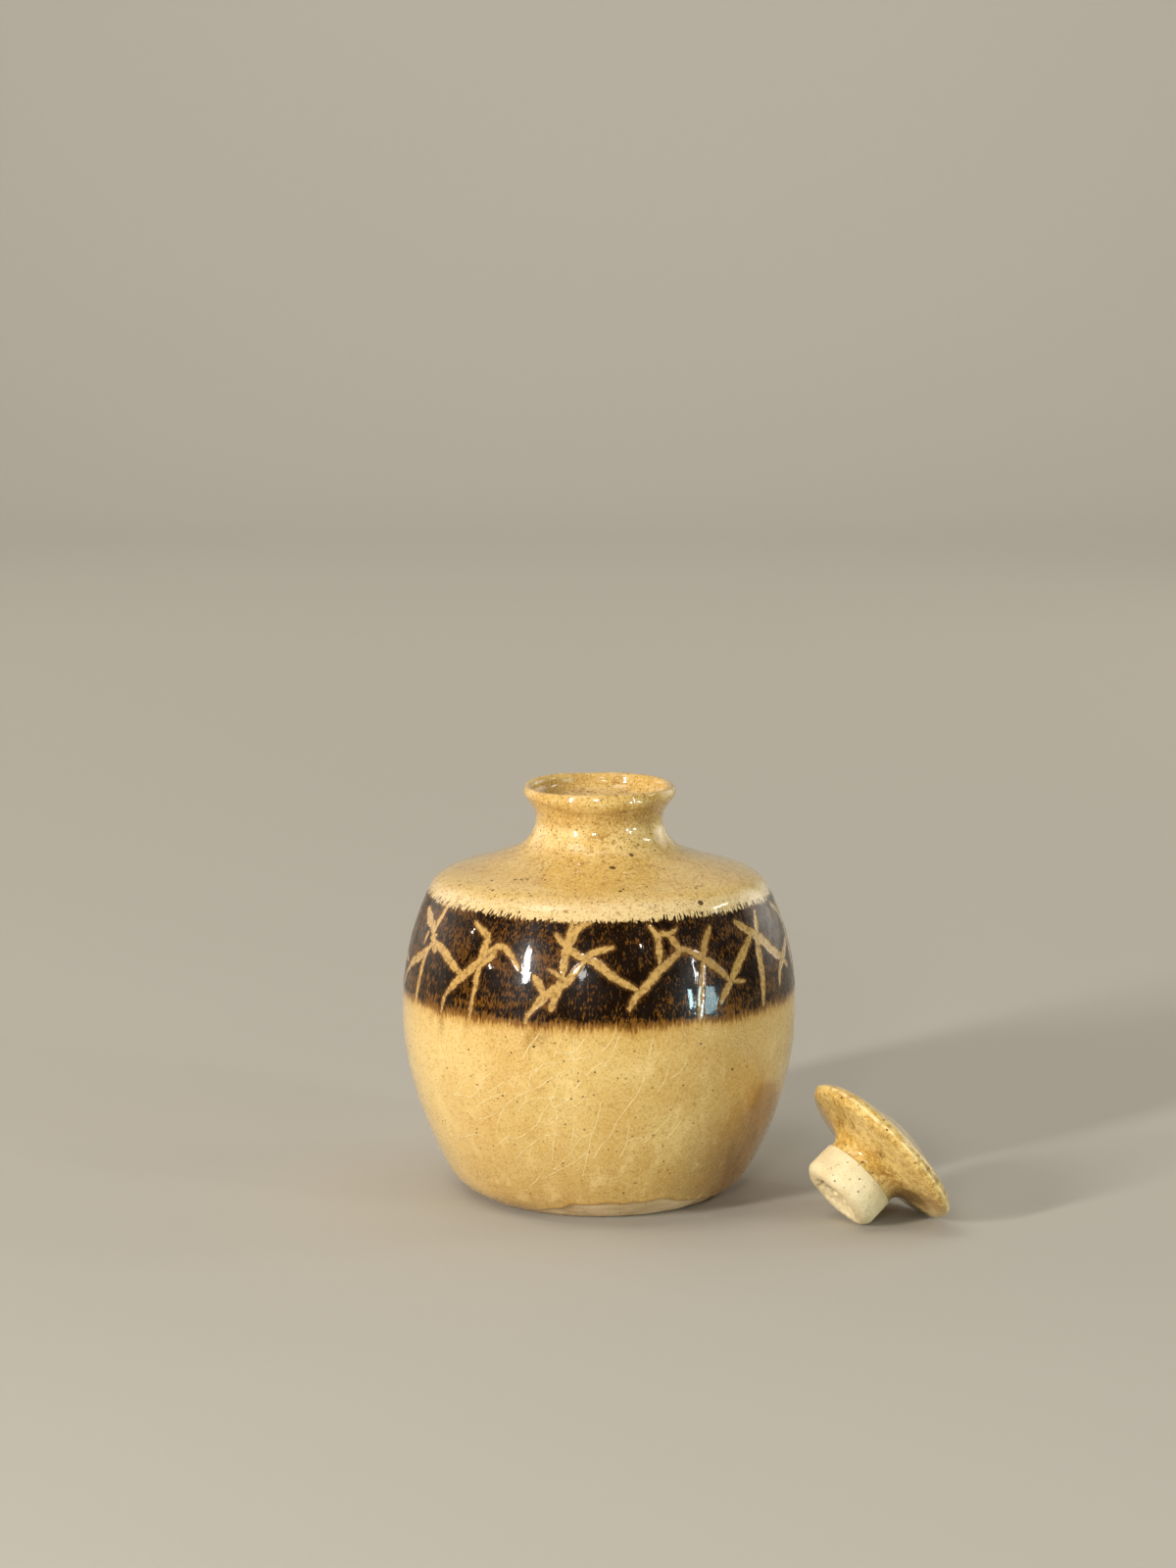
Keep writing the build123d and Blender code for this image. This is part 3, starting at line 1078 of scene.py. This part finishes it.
# Colours of the jar's glaze, some of them painted light and shade
straw = colour(210, 177, 108)
pale_straw = colour(238, 208, 144)
painted_light_straw = colour(232, 200, 132)
painted_shade_straw = colour(168, 122, 70)
honey = colour(194, 153, 80)
heel_honey = colour(182, 142, 74)
neck_pool_and_shade = colour(156, 116, 56)
deep_honey = colour(172, 126, 50)
gold = colour(202, 164, 90)
warm_gold = colour(202, 156, 70)
olive = colour(160, 118, 50)
run_olive = colour(132, 94, 26)
cream = colour(215, 188, 138)
lip_pool_and_shade = colour(128, 90, 42)
mouth_shade = colour(112, 80, 34)
low_right_shade = colour(98, 69, 32)
mark_brown = colour(138, 98, 44)
warm_patch = colour(166, 116, 52)
crack_pale = colour(246, 222, 164)
speck_brown = colour(112, 70, 18)
speck_dark = colour(62, 35, 6)
band_dark = colour(20, 8, 1)
band_brown = colour(104, 65, 22)
band_amber = colour(122, 78, 20)
stroke_tan = colour(188, 150, 86)
stroke_deep = colour(140, 104, 54)
stroke_brown = colour(92, 58, 24)

# Colours of the bare clay at the foot and on the plug, with painted shade and highlights on the
# plug's end
foot_pale = colour(226, 198, 156)
foot_tan = colour(206, 176, 132)
foot_sand = colour(160, 124, 80)
plug_cream = colour(224, 207, 166)
plug_shade = colour(210, 190, 147)
plug_sand = colour(196, 170, 126)
plug_freckle = colour(150, 112, 66)
plug_speck = colour(88, 62, 32)
pit_shade_and_dirt = colour(78, 57, 30)
facet_highlight = colour(252, 238, 188)

# Colours of the stopper's glaze, with its painted highlight and shade, and of the floor
cap_straw = colour(218, 184, 110)
cap_honey = colour(200, 162, 86)
cap_pool = colour(194, 148, 58)
cloudy_shade_brown = colour(142, 98, 32)
cap_brown = colour(158, 118, 52)
cap_pale = colour(228, 196, 126)
cap_grain = colour(142, 102, 46)
cap_grain_pale = colour(226, 196, 128)
rim_pale_and_highlight = colour(244, 218, 158)
cap_painted_shadow = colour(84, 56, 20)
floor_grey = colour(174, 168, 157)

# Single marks in the glaze, read off the photograph in its pixels: place and radius
dark_marks = [
    (625, 886, 0.75), (715, 921, 0.7), (747, 1091, 0.33), (545, 1068, 0.32), (530, 931, 0.34),
    (516, 1058, 0.24), (478, 1071, 0.24), (456, 1090, 0.26), (487, 1107, 0.24), (481, 1098, 0.2),
    (513, 1118, 0.26), (508, 1121, 0.2), (522, 1074, 0.24), (528, 1124, 0.22), (559, 1104, 0.23),
    (583, 1121, 0.28), (590, 1095, 0.2), (590, 1103, 0.22), (607, 1094, 0.26), (595, 1119, 0.24),
    (606, 1117, 0.24), (697, 1107, 0.27), (684, 1132, 0.25), (645, 1159, 0.25), (715, 1065, 0.27),
    (577, 1147, 0.22), (451, 1144, 0.24), (450, 1137, 0.2), (672, 1196, 0.22), (683, 1197, 0.2),
    (636, 1217, 0.24), (677, 1185, 0.24), (644, 873, 0.55), (633, 910, 0.5), (614, 828, 0.3),
    (637, 908, 0.25), (553, 897, 0.25), (502, 898, 0.42), (549, 844, 0.26), (710, 906, 0.25),
    (693, 1071, 0.18), (684, 1120, 0.17), (707, 1146, 0.22), (753, 1181, 0.26), (767, 1130, 0.2),
    (666, 1067, 0.18), (760, 1083, 0.18), (730, 1188, 0.18), (572, 833, 0.24), (561, 821, 0.18),
    (567, 852, 0.2), (552, 864, 0.2), (607, 839, 0.17), (629, 839, 0.2), (598, 845, 0.18),
    (526, 897, 0.4), (532, 897, 0.36), (538, 897, 0.3), (540, 912, 0.3), (503, 908, 0.42),
    (604, 922, 0.3), (555, 893, 0.34), (556, 898, 0.3), (583, 879, 0.26), (585, 882, 0.24),
    (660, 905, 0.3), (657, 903, 0.26), (636, 908, 0.4), (710, 906, 0.36), (668, 868, 0.3),
    (677, 887, 0.26), (651, 862, 0.26), (553, 888, 0.26),
]
# The same on the stopper: its glaze, its plug, and darker clouds in the glaze, the largest of them
# low on the cap, where they are painted shade
cap_marks = [
    (859, 1120, 0.26), (905, 1153, 0.24), (902, 1143, 0.22), (880, 1186, 0.26), (847, 1171, 0.18),
    (863, 1168, 0.2), (898, 1178, 0.24), (890, 1197, 0.2), (887, 1199, 0.18), (914, 1165, 0.16),
    (921, 1203, 0.16), (934, 1187, 0.2), (951, 1194, 0.2), (963, 1210, 0.22), (876, 1128, 0.16),
]
plug_marks = [
    (877, 1203, 0.24), (876, 1216, 0.26), (882, 1211, 0.18), (852, 1205, 0.3), (848, 1192, 0.17),
    (865, 1186, 0.2), (887, 1197, 0.2), (850, 1199, 0.17), (876, 1189, 0.18), (888, 1222, 0.16),
    (861, 1212, 0.16), (869, 1195, 0.14), (856, 1188, 0.14), (892, 1209, 0.16), (884, 1192, 0.16),
]
cloud_and_shade_places = [
    (857, 1146, 1.6), (872, 1151, 1.2), (898, 1178, 1.3), (937, 1181, 1.0), (947, 1193, 1.0),
    (956, 1203, 0.9), (964, 1214, 0.8), (905, 1196, 1.6), (918, 1209, 1.8), (934, 1222, 3.2),
    (950, 1228, 2.6),
]
# Painted highlights on the facets of the plug's scraped end: place on the upright stopper and
# radius
facet_highlights = [(0.2, 1.1, 0.2, 0.8), (1.7, -0.7, 0.2, 0.9), (2.9, -1.0, 0.2, 0.8)]
# Drips of the slip below the band: place and length
drips = [(450, 1038, 0.7), (552, 1046, 0.5), (640, 1047, 0.4)]
# Soft olive runs of the slip below the band: place, radius and strength
runs = [
    (547, 1052, 0.8, 0.85), (539, 1061, 0.6, 0.8), (560, 1050, 0.6, 0.7), (553, 1060, 0.4, 0.6),
    (450, 1041, 0.8, 0.7), (476, 1046, 0.5, 0.5), (440, 1036, 0.5, 0.5), (584, 1053, 0.5, 0.5),
    (700, 1053, 0.5, 0.4),
]


def glaze_colour(f):
    """The straw glaze over the whole jar, from honey where it pools to cream where it is thin.
    Painted light lies on the belly's left, and painted shade on its right, low on its right, on the
    right of the neck, under the lip and in the mouth.
    """
    radius = f.math("SQRT", f.plus(f.times(f.x, f.x), f.times(f.y, f.y)))
    f.paint(honey, f.ramp(f.noise(15), 0.38, 0.68, 0, 0.6))
    f.paint(heel_honey, f.ramp(f.z, 19, 2), f.ramp(f.noise(7), 0.25, 0.7, 0.45, 1.0))
    shoulder = f.ramp(f.z, band_top + 0.3, band_top + 1.5)
    cloudy = f.noise(6, detail=3)
    middle = f.times(shoulder, f.ramp(radius, 31.5, 24), f.ramp(cloudy, 0.35, 0.6, 0.3, 1))
    f.paint(gold, middle)
    blotchy = f.noise(3.2, detail=4, roughness=0.65)
    f.paint(olive, middle, f.ramp(blotchy, 0.48, 0.68, 0, 0.75), 0.85)
    f.paint(warm_gold, shoulder, f.spot(place_on_jar(596, 905), 5.0, 9.0), 0.5)
    rim = f.ramp(f.plus(radius, f.sway(2.6, 1.8, detail=3)), 31.8, 33.6)
    f.paint(cream, rim, f.ramp(f.z, band_top - 1.5, band_top + 0.5), 0.85)
    # Painted shade under the lip's right side, over glaze that pools there a little darker.
    f.paint(lip_pool_and_shade, f.spot(place_on_jar(662, 829), 2.4, 2.8), 0.75)
    pooled = f.ramp(cloudy, 0.35, 0.6, 0.3, 0.6)
    neck = f.times(f.ramp(f.z, 75, 78), f.ramp(f.z, 81.5, 79.5))
    # Darker honey where the glaze pools on the neck, much stronger on the right side, where it is
    # painted shade.
    f.paint(neck_pool_and_shade, neck, pooled, f.ramp(f.x, -8, 3, 0.1, 1.0))
    below_neck = f.times(f.ramp(f.z, 69.5, 72.5), f.ramp(f.z, 77, 74.5))
    f.paint(pale_straw, below_neck, f.ramp(cloudy, 0.6, 0.35, 0.1, 0.6))
    # Painted shade on the left of the mouth's inner wall.
    f.paint(mouth_shade, f.ramp(radius, 13.2, 12.4), f.spot((-10, 3, 79.5), 5.0, 3.5), 0.55)
    # Painted shade low on the belly's right side.
    f.paint(low_right_shade, f.spot(place_on_jar(742, 1182), 6.0, 13.0), 0.95)
    f.paint(warm_patch, f.spot(place_on_jar(772, 1116), 1.0, 4.6, 1.7), 0.7)
    belly = f.ramp(f.z, band_bottom + 1, band_bottom - 1)
    clouds = f.noise(4, place=f.stretched(1, 0.6), detail=3, roughness=0.55)
    f.paint(honey, belly, f.ramp(clouds, 0.52, 0.72, 0, 0.4))
    f.paint(pale_straw, belly, f.ramp(clouds, 0.48, 0.3, 0, 0.4))
    # Painted light on the belly's left side, and painted shade on its right.
    f.paint(painted_light_straw, belly, f.ramp(f.x, -12, -36), 0.55)
    f.paint(painted_shade_straw, belly, f.ramp(f.x, 8, 30), 0.3)
    f.paint(honey, belly, f.ramp(f.z, band_bottom - 9, band_bottom - 1), 0.35)
    grain = f.noise(0.45, roughness=0.6)
    grainy = f.ramp(grain, 0.3, 0.55, 0.55, 1)
    for x, y, run_radius, strength in runs:
        f.paint(run_olive, f.spot(place_on_jar(x, y), run_radius, 1.0, 2.6), grainy, strength)
    bolder = f.ramp(f.z, band_top - 2, band_top + 2, 0.6, 1.0)
    f.paint(olive, f.ramp(grain, 0.48, 0.7), bolder, 0.7)
    f.paint(cream, f.ramp(grain, 0.5, 0.32), bolder, 0.6)
    mottle = f.ramp(f.noise(1.3, detail=4, roughness=0.7), 0.55, 0.68)
    f.paint(mark_brown, mottle, f.ramp(f.z, band_top - 2, band_top + 2, 0.3, 0.75))


def specks(f):
    """Paints iron specks, from fine freckles to a few dark ones, and says how deep they are."""
    some = f.dots(1.7, 0.22, 0.5, seed=31)
    few = f.dots(5.5, 0.26, 0.4, seed=57)
    marks = f.marks(f.place, place_on_jar, dark_marks, 0.9)
    f.paint(speck_brown, f.dots(0.8, 0.16, 0.5), f.ramp(f.z, band_top - 1, band_top + 3, 0.45, 1))
    f.paint(speck_brown, some, 0.75)
    f.paint(speck_dark, f.math("MAXIMUM", few, marks), 0.9)
    return f.plus(f.times(some, 0.5), few, marks)


def crackle(f):
    """Fine cracks, 0 to 1: those that the photograph shows, and made-up ones further round."""
    beside = f.absolute(f.plus(f.attribute("crack_side"), f.sway(0.35, 0.9)))
    width = f.ramp(f.noise(2.5), 0.35, 0.65, 0.078, 0.13)
    near = f.ramp(f.attribute("crack_gap"), 0.62, 0.42)
    seen = f.times(f.ramp(f.math("DIVIDE", beside, width), 1.15, 0.55), near)
    flat = f.attribute("unrolled", "Vector")
    warped = f.warped(flat, (11, 11, 0), 14, place=flat, detail=1)
    slanted = {"Vector": warped, "Angle": crack_slant}
    slanted = f.node("ShaderNodeVectorRotate", slanted, rotation_type="Z_AXIS").outputs[0]
    cells = {"Vector": f.vector("MULTIPLY", slanted, (0.36, 1, 1)), "Scale": 1 / crack_size}
    edges = f.node(
        "ShaderNodeTexVoronoi", cells, voronoi_dimensions="2D", feature="DISTANCE_TO_EDGE"
    )
    line = f.ramp(edges.outputs["Distance"], 0.036, 0.014)
    patchy = f.ramp(f.noise(6, place=warped), 0.46, 0.6)
    aside = f.ramp(f.absolute(f.plus(f.split(flat)[0], 2.0)), 38, 46)
    level = f.times(f.ramp(f.z, 9, 15), f.ramp(f.z, band_bottom - 1, band_bottom - 5))
    return f.plus(seen, f.times(line, patchy, aside, level, 0.8))


def band_masks(f):
    """How dark and how amber the iron band is at each place, and how far honey spreads round it."""
    across, along, _ = f.split(f.attribute("unrolled", "Vector"))
    above = f.minus(along, band_top_s)
    lean = f.times(above, f.ramp(across, -12, -26, 0, 0.7))
    slanted = f.node("ShaderNodeCombineXYZ", (f.minus(across, lean), f.times(above, 0.16)))
    teeth = f.ramp(f.noise(0.65, place=slanted.outputs[0], detail=1), 0.46, 0.62)
    aside = f.ramp(f.absolute(f.plus(across, 2.0)), 8, 20, 0.2, 1.0)
    slow = f.minus(f.noise(9, detail=1), 0.5)
    top = f.plus(
        f.minus(band_top - 0.1, f.z),
        f.sway(2.4, 0.42, place=f.stretched(1, 0.14), roughness=0.6),
        f.times(teeth, aside),
        f.times(slow, 0.8),
    )
    bottom = f.plus(
        f.minus(f.z, band_bottom + 0.2),
        f.sway(3.6, 0.4, place=f.stretched(1, 0.2), roughness=0.6),
        f.times(slow, 1.8),
        *[f.times(f.spot(place_on_jar(x, y), 0.6, 1.4, 3.0), length) for x, y, length in drips],
    )
    upper = f.ramp(top, -0.15, 0.4)
    dark = f.times(upper, f.ramp(bottom, 0.2, 1.3))
    amber = f.times(upper, f.ramp(bottom, -0.9, 0.3))
    glow = f.times(f.ramp(f.minus(band_top, f.z), 0, 1), f.ramp(bottom, -2.4, -0.3))
    return dark, amber, glow


def band_colour(f):
    """Dark iron with fine upright brown flecks, more amber towards its lower edge."""
    brown = f.plus(
        f.noise(0.34, place=f.stretched(1, 0.36), roughness=0.6),
        f.sway(0.5, 0.9, place=f.stretched(1, 0.3)),
        f.sway(0.3, 1.5, place=f.stretched(0.12, 1), detail=1),
        f.sway(0.45, 5.5, place=f.stretched(1, 0.6)),
        f.ramp(f.x, -2, -17, 0, 0.085),
        f.ramp(f.x, 10, 26, 0, 0.06),
        -0.03,
    )
    tone = f.mix(f.ramp(brown, 0.5, 0.76, 0, 0.85), band_dark, band_brown)
    low = f.ramp(f.z, band_bottom + 8, band_bottom + 1, 0.1, 0.5)
    return f.mix(f.times(low, f.ramp(brown, 0.5, 0.72)), tone, band_amber)


def stroke_masks(f):
    """The strokes and their brown fringes."""
    gap = f.attribute("stroke")
    feathered = f.sway(1.1, 0.26, place=f.stretched(1, 0.45), roughness=0.65)
    edge = f.plus(gap, f.sway(0.14, 1.3), feathered)
    present = f.math("LESS_THAN", gap, 2.5)
    return f.times(f.ramp(edge, 0.2, -0.12), present), f.times(f.ramp(edge, 0.75, 0.1), present)


def stroke_colour(f):
    """The pale tan of a stroke, mottled as the glaze is."""
    mottle = f.noise(0.8, detail=3, roughness=0.6)
    tone = f.mix(f.ramp(mottle, 0.4, 0.66, 0, 0.85), stroke_tan, stroke_deep)
    right = f.times(f.ramp(f.x, 8, 18, 0, 0.5), f.ramp(f.x, 22, 28, 1, 0))
    return f.mix(right, tone, stroke_deep)


def jar_glaze(name):
    """The jar's glaze with its band. All the coats share it, so nothing breaks at their joins."""
    f = Finish(name, straw)
    glaze_colour(f)
    cracks = crackle(f)
    f.paint(crack_pale, cracks, 0.5)
    edge_near = f.attribute("edge_near")
    f.paint(deep_honey, f.ramp(edge_near, 0.03, 0.3, 0, 0.5))
    f.paint(cream, f.ramp(edge_near, 0.5, 0.8, 0, 0.8))
    pits = specks(f)
    dark, amber, glow = band_masks(f)
    core, fringe = stroke_masks(f)
    open_dark = f.times(dark, f.minus(1.0, core))
    f.paint(deep_honey, glow, 0.6)
    f.paint(band_amber, amber)
    f.paint(band_colour(f), dark)
    f.paint(stroke_brown, fringe, dark, 0.75)
    f.paint(stroke_colour(f), core, amber)
    height = f.plus(
        f.times(f.noise(3.0, detail=1), 0.006),
        f.times(f.noise(0.4, detail=1), 0.0015),
        f.times(f.noise(0.4, place=f.stretched(1, 0.4)), open_dark, 0.004),
        f.times(cracks, 0.05),
        f.times(pits, -0.015),
    )
    roughness = f.ramp(f.noise(2.0), 0.3, 0.7, 0.22, 0.38)
    return f.finish(roughness, height, coat=f.ramp(open_dark, 0, 1, 1.0, 0.45))


def foot_clay():
    """Unglazed pinkish-grey stoneware."""
    f = Finish("foot_clay", foot_pale)
    f.paint(foot_tan, f.ramp(f.noise(5, detail=3), 0.35, 0.65))
    sand = f.noise(0.3, detail=3, roughness=0.7)
    f.paint(foot_sand, f.ramp(sand, 0.5, 0.75, 0, 0.5))
    f.paint(speck_brown, f.dots(1.7, 0.2, 0.5), 0.8)
    return f.finish(0.82, f.plus(f.times(sand, 0.05), f.times(f.noise(1.2), 0.04)), coat=0.0)


def plug_clay():
    """The plug's bare cream clay, chalky, with fine specks and pits, painted shade and dirt in the
    pit of its end, and painted highlights on its facets.
    """
    f = Finish("plug_clay", plug_cream)
    f.paint(plug_shade, f.ramp(f.noise(4, detail=3), 0.35, 0.7))
    sand = f.noise(0.35, detail=3, roughness=0.7)
    f.paint(plug_sand, f.ramp(sand, 0.5, 0.7, 0, 0.5))
    some = f.dots(1.2, 0.15, 0.6, seed=13)
    f.paint(plug_freckle, f.dots(0.6, 0.11, 0.8, seed=3), 0.45)
    f.paint(speck_brown, some, 0.6)
    upright = f.attribute("upright", "Vector")
    marks = f.marks(upright, seen_on_stopper, plug_marks, 0.8)
    f.paint(plug_speck, marks, 0.85)
    # Painted shade, with some dirt, in the pit of the plug's scraped end, broken into streaks.
    streaky_pit = f.ramp(f.noise(0.8, place=upright, detail=3), 0.4, 0.55, 0.3, 1)
    pit = f.distance(f.vector("MULTIPLY", upright, (1, 0.6, 1)), (-2.1, 0.6, 0.8))
    f.paint(pit_shade_and_dirt, f.ramp(pit, 2.0, 0.9), streaky_pit)
    # Painted highlights on the scraped end's facets.
    for *place, radius in facet_highlights:
        f.paint(facet_highlight, f.ramp(f.distance(upright, place), radius + 0.4, radius - 0.3, 0, 0.8))
    height = f.plus(f.times(sand, 0.08), f.times(f.noise(1.3, detail=3), 0.09))
    height = f.plus(height, f.times(f.plus(some, marks), -0.03))
    return f.finish(0.78, height, coat=0.0)


def stopper_honey():
    """The stopper's honey glaze, darker where it pools under the cap and pale on the rim, with a
    painted highlight along the rim's ridge and painted shade low on the cap.
    """
    f = Finish("stopper_honey", cap_straw)
    along = f.attribute("along_cap")
    upright = f.attribute("upright", "Vector")
    broad = f.noise(6)
    f.paint(cap_honey, f.ramp(broad, 0.4, 0.66))
    pool = f.times(f.ramp(along, 0.5, 2.4), f.ramp(along, 6.5, 3.0))
    f.paint(cap_pool, pool, f.ramp(broad, 0.35, 0.6, 0.35, 0.9))
    # Darker clouds in the glaze; the largest, low on the cap, are painted shade.
    gaps = []
    for x, y, radius in cloud_and_shade_places:
        gaps.append(f.math("DIVIDE", f.distance(upright, seen_on_stopper(x, y)), radius))
    mottle = f.noise(1.2, detail=4, roughness=0.62)
    f.paint(cloudy_shade_brown, f.ramp(f.least(gaps), 1.5, 0.2), f.ramp(mottle, 0.36, 0.56, 0.35, 1), 0.9)
    f.paint(cap_brown, f.ramp(mottle, 0.46, 0.66, 0, 0.66))
    f.paint(cap_pale, f.ramp(mottle, 0.48, 0.32, 0, 0.65))
    grain = f.noise(0.4)
    f.paint(cap_grain, f.ramp(grain, 0.5, 0.68, 0, 0.5))
    f.paint(cap_grain_pale, f.ramp(grain, 0.5, 0.3, 0, 0.4))
    from_ridge = f.absolute(f.minus(along, ridge_s))
    patchy = f.ramp(f.noise(1.6, detail=3), 0.4, 0.58, 0.1, 0.75)
    # Pale where the glaze runs thin along the rim's ridge, and partly a painted highlight there.
    f.paint(rim_pale_and_highlight, f.ramp(from_ridge, 0.4, 0.05), patchy)
    # Painted shadow low on the cap's underside, where it nears the floor.
    f.paint(cap_painted_shadow, f.ramp(f.distance(upright, seen_on_stopper(926, 1220)), 5.5, 1.5, 0, 0.7))
    some = f.dots(2.0, 0.2, 0.4, seed=5)
    marks = f.marks(upright, seen_on_stopper, cap_marks)
    f.paint(speck_brown, f.dots(0.9, 0.15, 0.5), 0.6)
    f.paint(speck_brown, some, 0.7)
    f.paint(speck_dark, marks, 0.9)
    height = f.plus(
        f.times(f.noise(1.4), 0.03),
        f.times(mottle, 0.03),
        f.times(f.noise(0.5), f.ramp(from_ridge, 0.9, 0.4), 0.12),
        f.times(f.plus(some, marks), -0.02),
    )
    return f.finish(0.3, height, coat_roughness=0.035)


# The object

def place_piece(piece, material, body, node):
    """Gives a piece its material and its body, and hides the CAD node that it stands for."""
    piece.data.materials.append(material)
    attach(piece, body)
    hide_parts(node)


def build_jar():
    """The jar's clay and its four coats."""
    belly, band, shoulder, liner = jar_coats()
    place_piece(jar_clay(), foot_clay(), "jar", "clay_body")
    place_piece(belly, jar_glaze("belly_straw_glaze"), "jar", "belly_glaze")
    place_piece(band, jar_glaze("iron_band_glaze"), "jar", "iron_band")
    place_piece(shoulder, jar_glaze("shoulder_straw_glaze"), "jar", "shoulder_glaze")
    place_piece(liner, jar_glaze("lining_glaze"), "jar", "liner_glaze")


def build_stopper():
    """The stopper's clay and its glaze."""
    place_piece(stopper_body(), plug_clay(), "stopper", "stopper_clay")
    place_piece(stopper_coat(), stopper_honey(), "stopper", "stopper_glaze")


# The stage, in metres

def pale_stage():
    """A plain pale floor that curves up into a backdrop far behind."""
    half, front, back, top, bend = 3.0, -2.0, 2.6, 3.2, 0.9
    profile = [(front, 0.0), (back - bend, 0.0)]
    steps = 24
    for step in range(1, steps + 1):
        turn = pi / 2 * step / steps
        profile.append((back - bend + sin(turn) * bend, bend - cos(turn) * bend))
    profile.append((back, top))
    vertices = [(x, y, z) for y, z in profile for x in (-half, half)]
    faces = [(2 * i, 2 * i + 1, 2 * i + 3, 2 * i + 2) for i in range(len(profile) - 1)]
    mesh = smooth_mesh("floor", vertices, faces)
    material = bpy.data.materials.new("pale_floor")
    material.use_nodes = True
    shader = material.node_tree.nodes["Principled BSDF"]
    shader.inputs["Base Color"].default_value = floor_grey
    shader.inputs["Roughness"].default_value = 0.9
    shader.inputs["Specular IOR Level"].default_value = 0.2
    mesh.materials.append(material)
    put("floor", mesh)


def camera():
    """The camera at the photograph's place."""
    data = bpy.data.cameras.new("camera")
    data.lens = lens
    data.sensor_fit = "VERTICAL"
    data.sensor_height = sensor
    data.clip_start = 0.01
    obj = put("camera", data)
    obj.location = [value * metres for value in camera_place]
    obj.rotation_euler = (pi / 2 - pitch, 0, 0)
    bpy.context.scene.camera = obj


def lamp(name, place, aim, size, power, tint, shape="RECTANGLE"):
    """A soft lamp that faces a point."""
    data = bpy.data.lights.new(name, "AREA")
    data.shape = shape
    data.size, data.size_y = size
    data.energy = power
    data.color = tint
    obj = put(name, data)
    obj.location = place
    way = Vector(aim) - Vector(place)
    obj.rotation_euler = way.to_track_quat("-Z", "Y").to_euler()


def soft_lamp(name, place, aim, size, power, tint):
    """A large lamp that is dimmer towards its edges, made of three that lie one behind another."""
    shares = (0.5, 0.75, 1.0)
    whole = sum(share**2 for share in shares)
    for index, share in enumerate(shares):
        behind = Vector(place) * (1 + 0.001 * index)
        lamp(name, behind, aim, (size[0] * share, size[1] * share), power * share**2 / whole, tint)


def mirrored(x, y, distance):
    """The place whose reflection the camera sees on the jar at a pixel."""
    angle, s = seen_on_jar(x, y)
    point = on_ring(jar, s, angle)
    normal = around(*jar.facing(s), angle)
    ray = point - np.array(camera_place)
    ray /= np.linalg.norm(ray)
    back = ray - 2 * (ray @ normal) * normal
    return tuple((point * metres + back * distance).tolist())


white = (1.0, 0.98, 0.93)
sunny = (1.0, 0.93, 0.82)
# Small lamps whose reflections lie where the photograph shows them: pixel, size, power, tint, shape
reflected = [
    ("shoulder_lamp", 735, 924, (0.3, 0.09), 1.6, white, "RECTANGLE"),
    ("tall_lamp", 536, 985, (0.09, 0.34), 14.0, white, "RECTANGLE"),
    ("round_lamp", 594, 994, (0.16, 0.16), 3.2, white, "DISK"),
    ("line_lamp", 709, 990, (0.014, 0.24), 2.0, white, "RECTANGLE"),
    ("window_lamp", 725, 1019, (0.16, 0.13), 2.2, (0.6, 0.93, 1.0), "RECTANGLE"),
    ("pane_lamp", 704, 1022, (0.06, 0.12), 2.4, (0.65, 0.94, 1.0), "RECTANGLE"),
    ("bulb", 479, 953, (0.024, 0.024), 0.3, white, "DISK"),
    ("bulb", 500, 987, (0.024, 0.024), 0.3, white, "DISK"),
    ("bulb", 655, 969, (0.024, 0.024), 0.3, white, "DISK"),
]


def lights():
    """Plain soft light, and the small lamps that are seen in the glaze."""
    aim = (0, 0, 0.05)
    lamp("key", (-0.58, -0.34, 1.18), aim, (0.5, 0.5), 4.5, white)
    soft_lamp("softbox_left", (-1.1, 0.7, 0.5), aim, (1.3, 1.3), 4.4, sunny)
    soft_lamp("softbox_right", mirrored(803, 1020, 1.3), aim, (1.1, 1.3), 1.6, sunny)
    soft_lamp("rim_right", (1.0, 0.75, 0.4), aim, (0.8, 0.8), 2.8, sunny)
    for name, x, y, size, power, tint, shape in reflected:
        lamp(name, mirrored(x, y, 1.2), aim, size, power, tint, shape)
    lamp("top_lamp", (0, 0.5, 2.5), (0, 0.5, 0), (2.4, 2.4), 18.0, white)
    lamp("backdrop_lamp", (0, 1.0, 2.2), (0, 2.6, 1.5), (2.6, 1.0), 46.0, white)


def surround():
    """The light from all round, which is weak, and looks pale to the camera beyond the floor."""
    world = bpy.data.worlds.new("studio")
    world.use_nodes = True
    nodes = world.node_tree.nodes
    nodes["Background"].inputs["Color"].default_value = (1.0, 0.96, 0.88, 1.0)
    strength = nodes.new("ShaderNodeMath")
    strength.operation = "MULTIPLY_ADD"
    strength.inputs[1].default_value = 0.36
    strength.inputs[2].default_value = 0.08
    seen = nodes.new("ShaderNodeLightPath")
    world.node_tree.links.new(seen.outputs["Is Camera Ray"], strength.inputs[0])
    world.node_tree.links.new(strength.outputs[0], nodes["Background"].inputs["Strength"])
    bpy.context.scene.world = world


bpy.context.scene.view_settings.view_transform = "Standard"
build_jar()
build_stopper()
pale_stage()
camera()
lights()
surround()
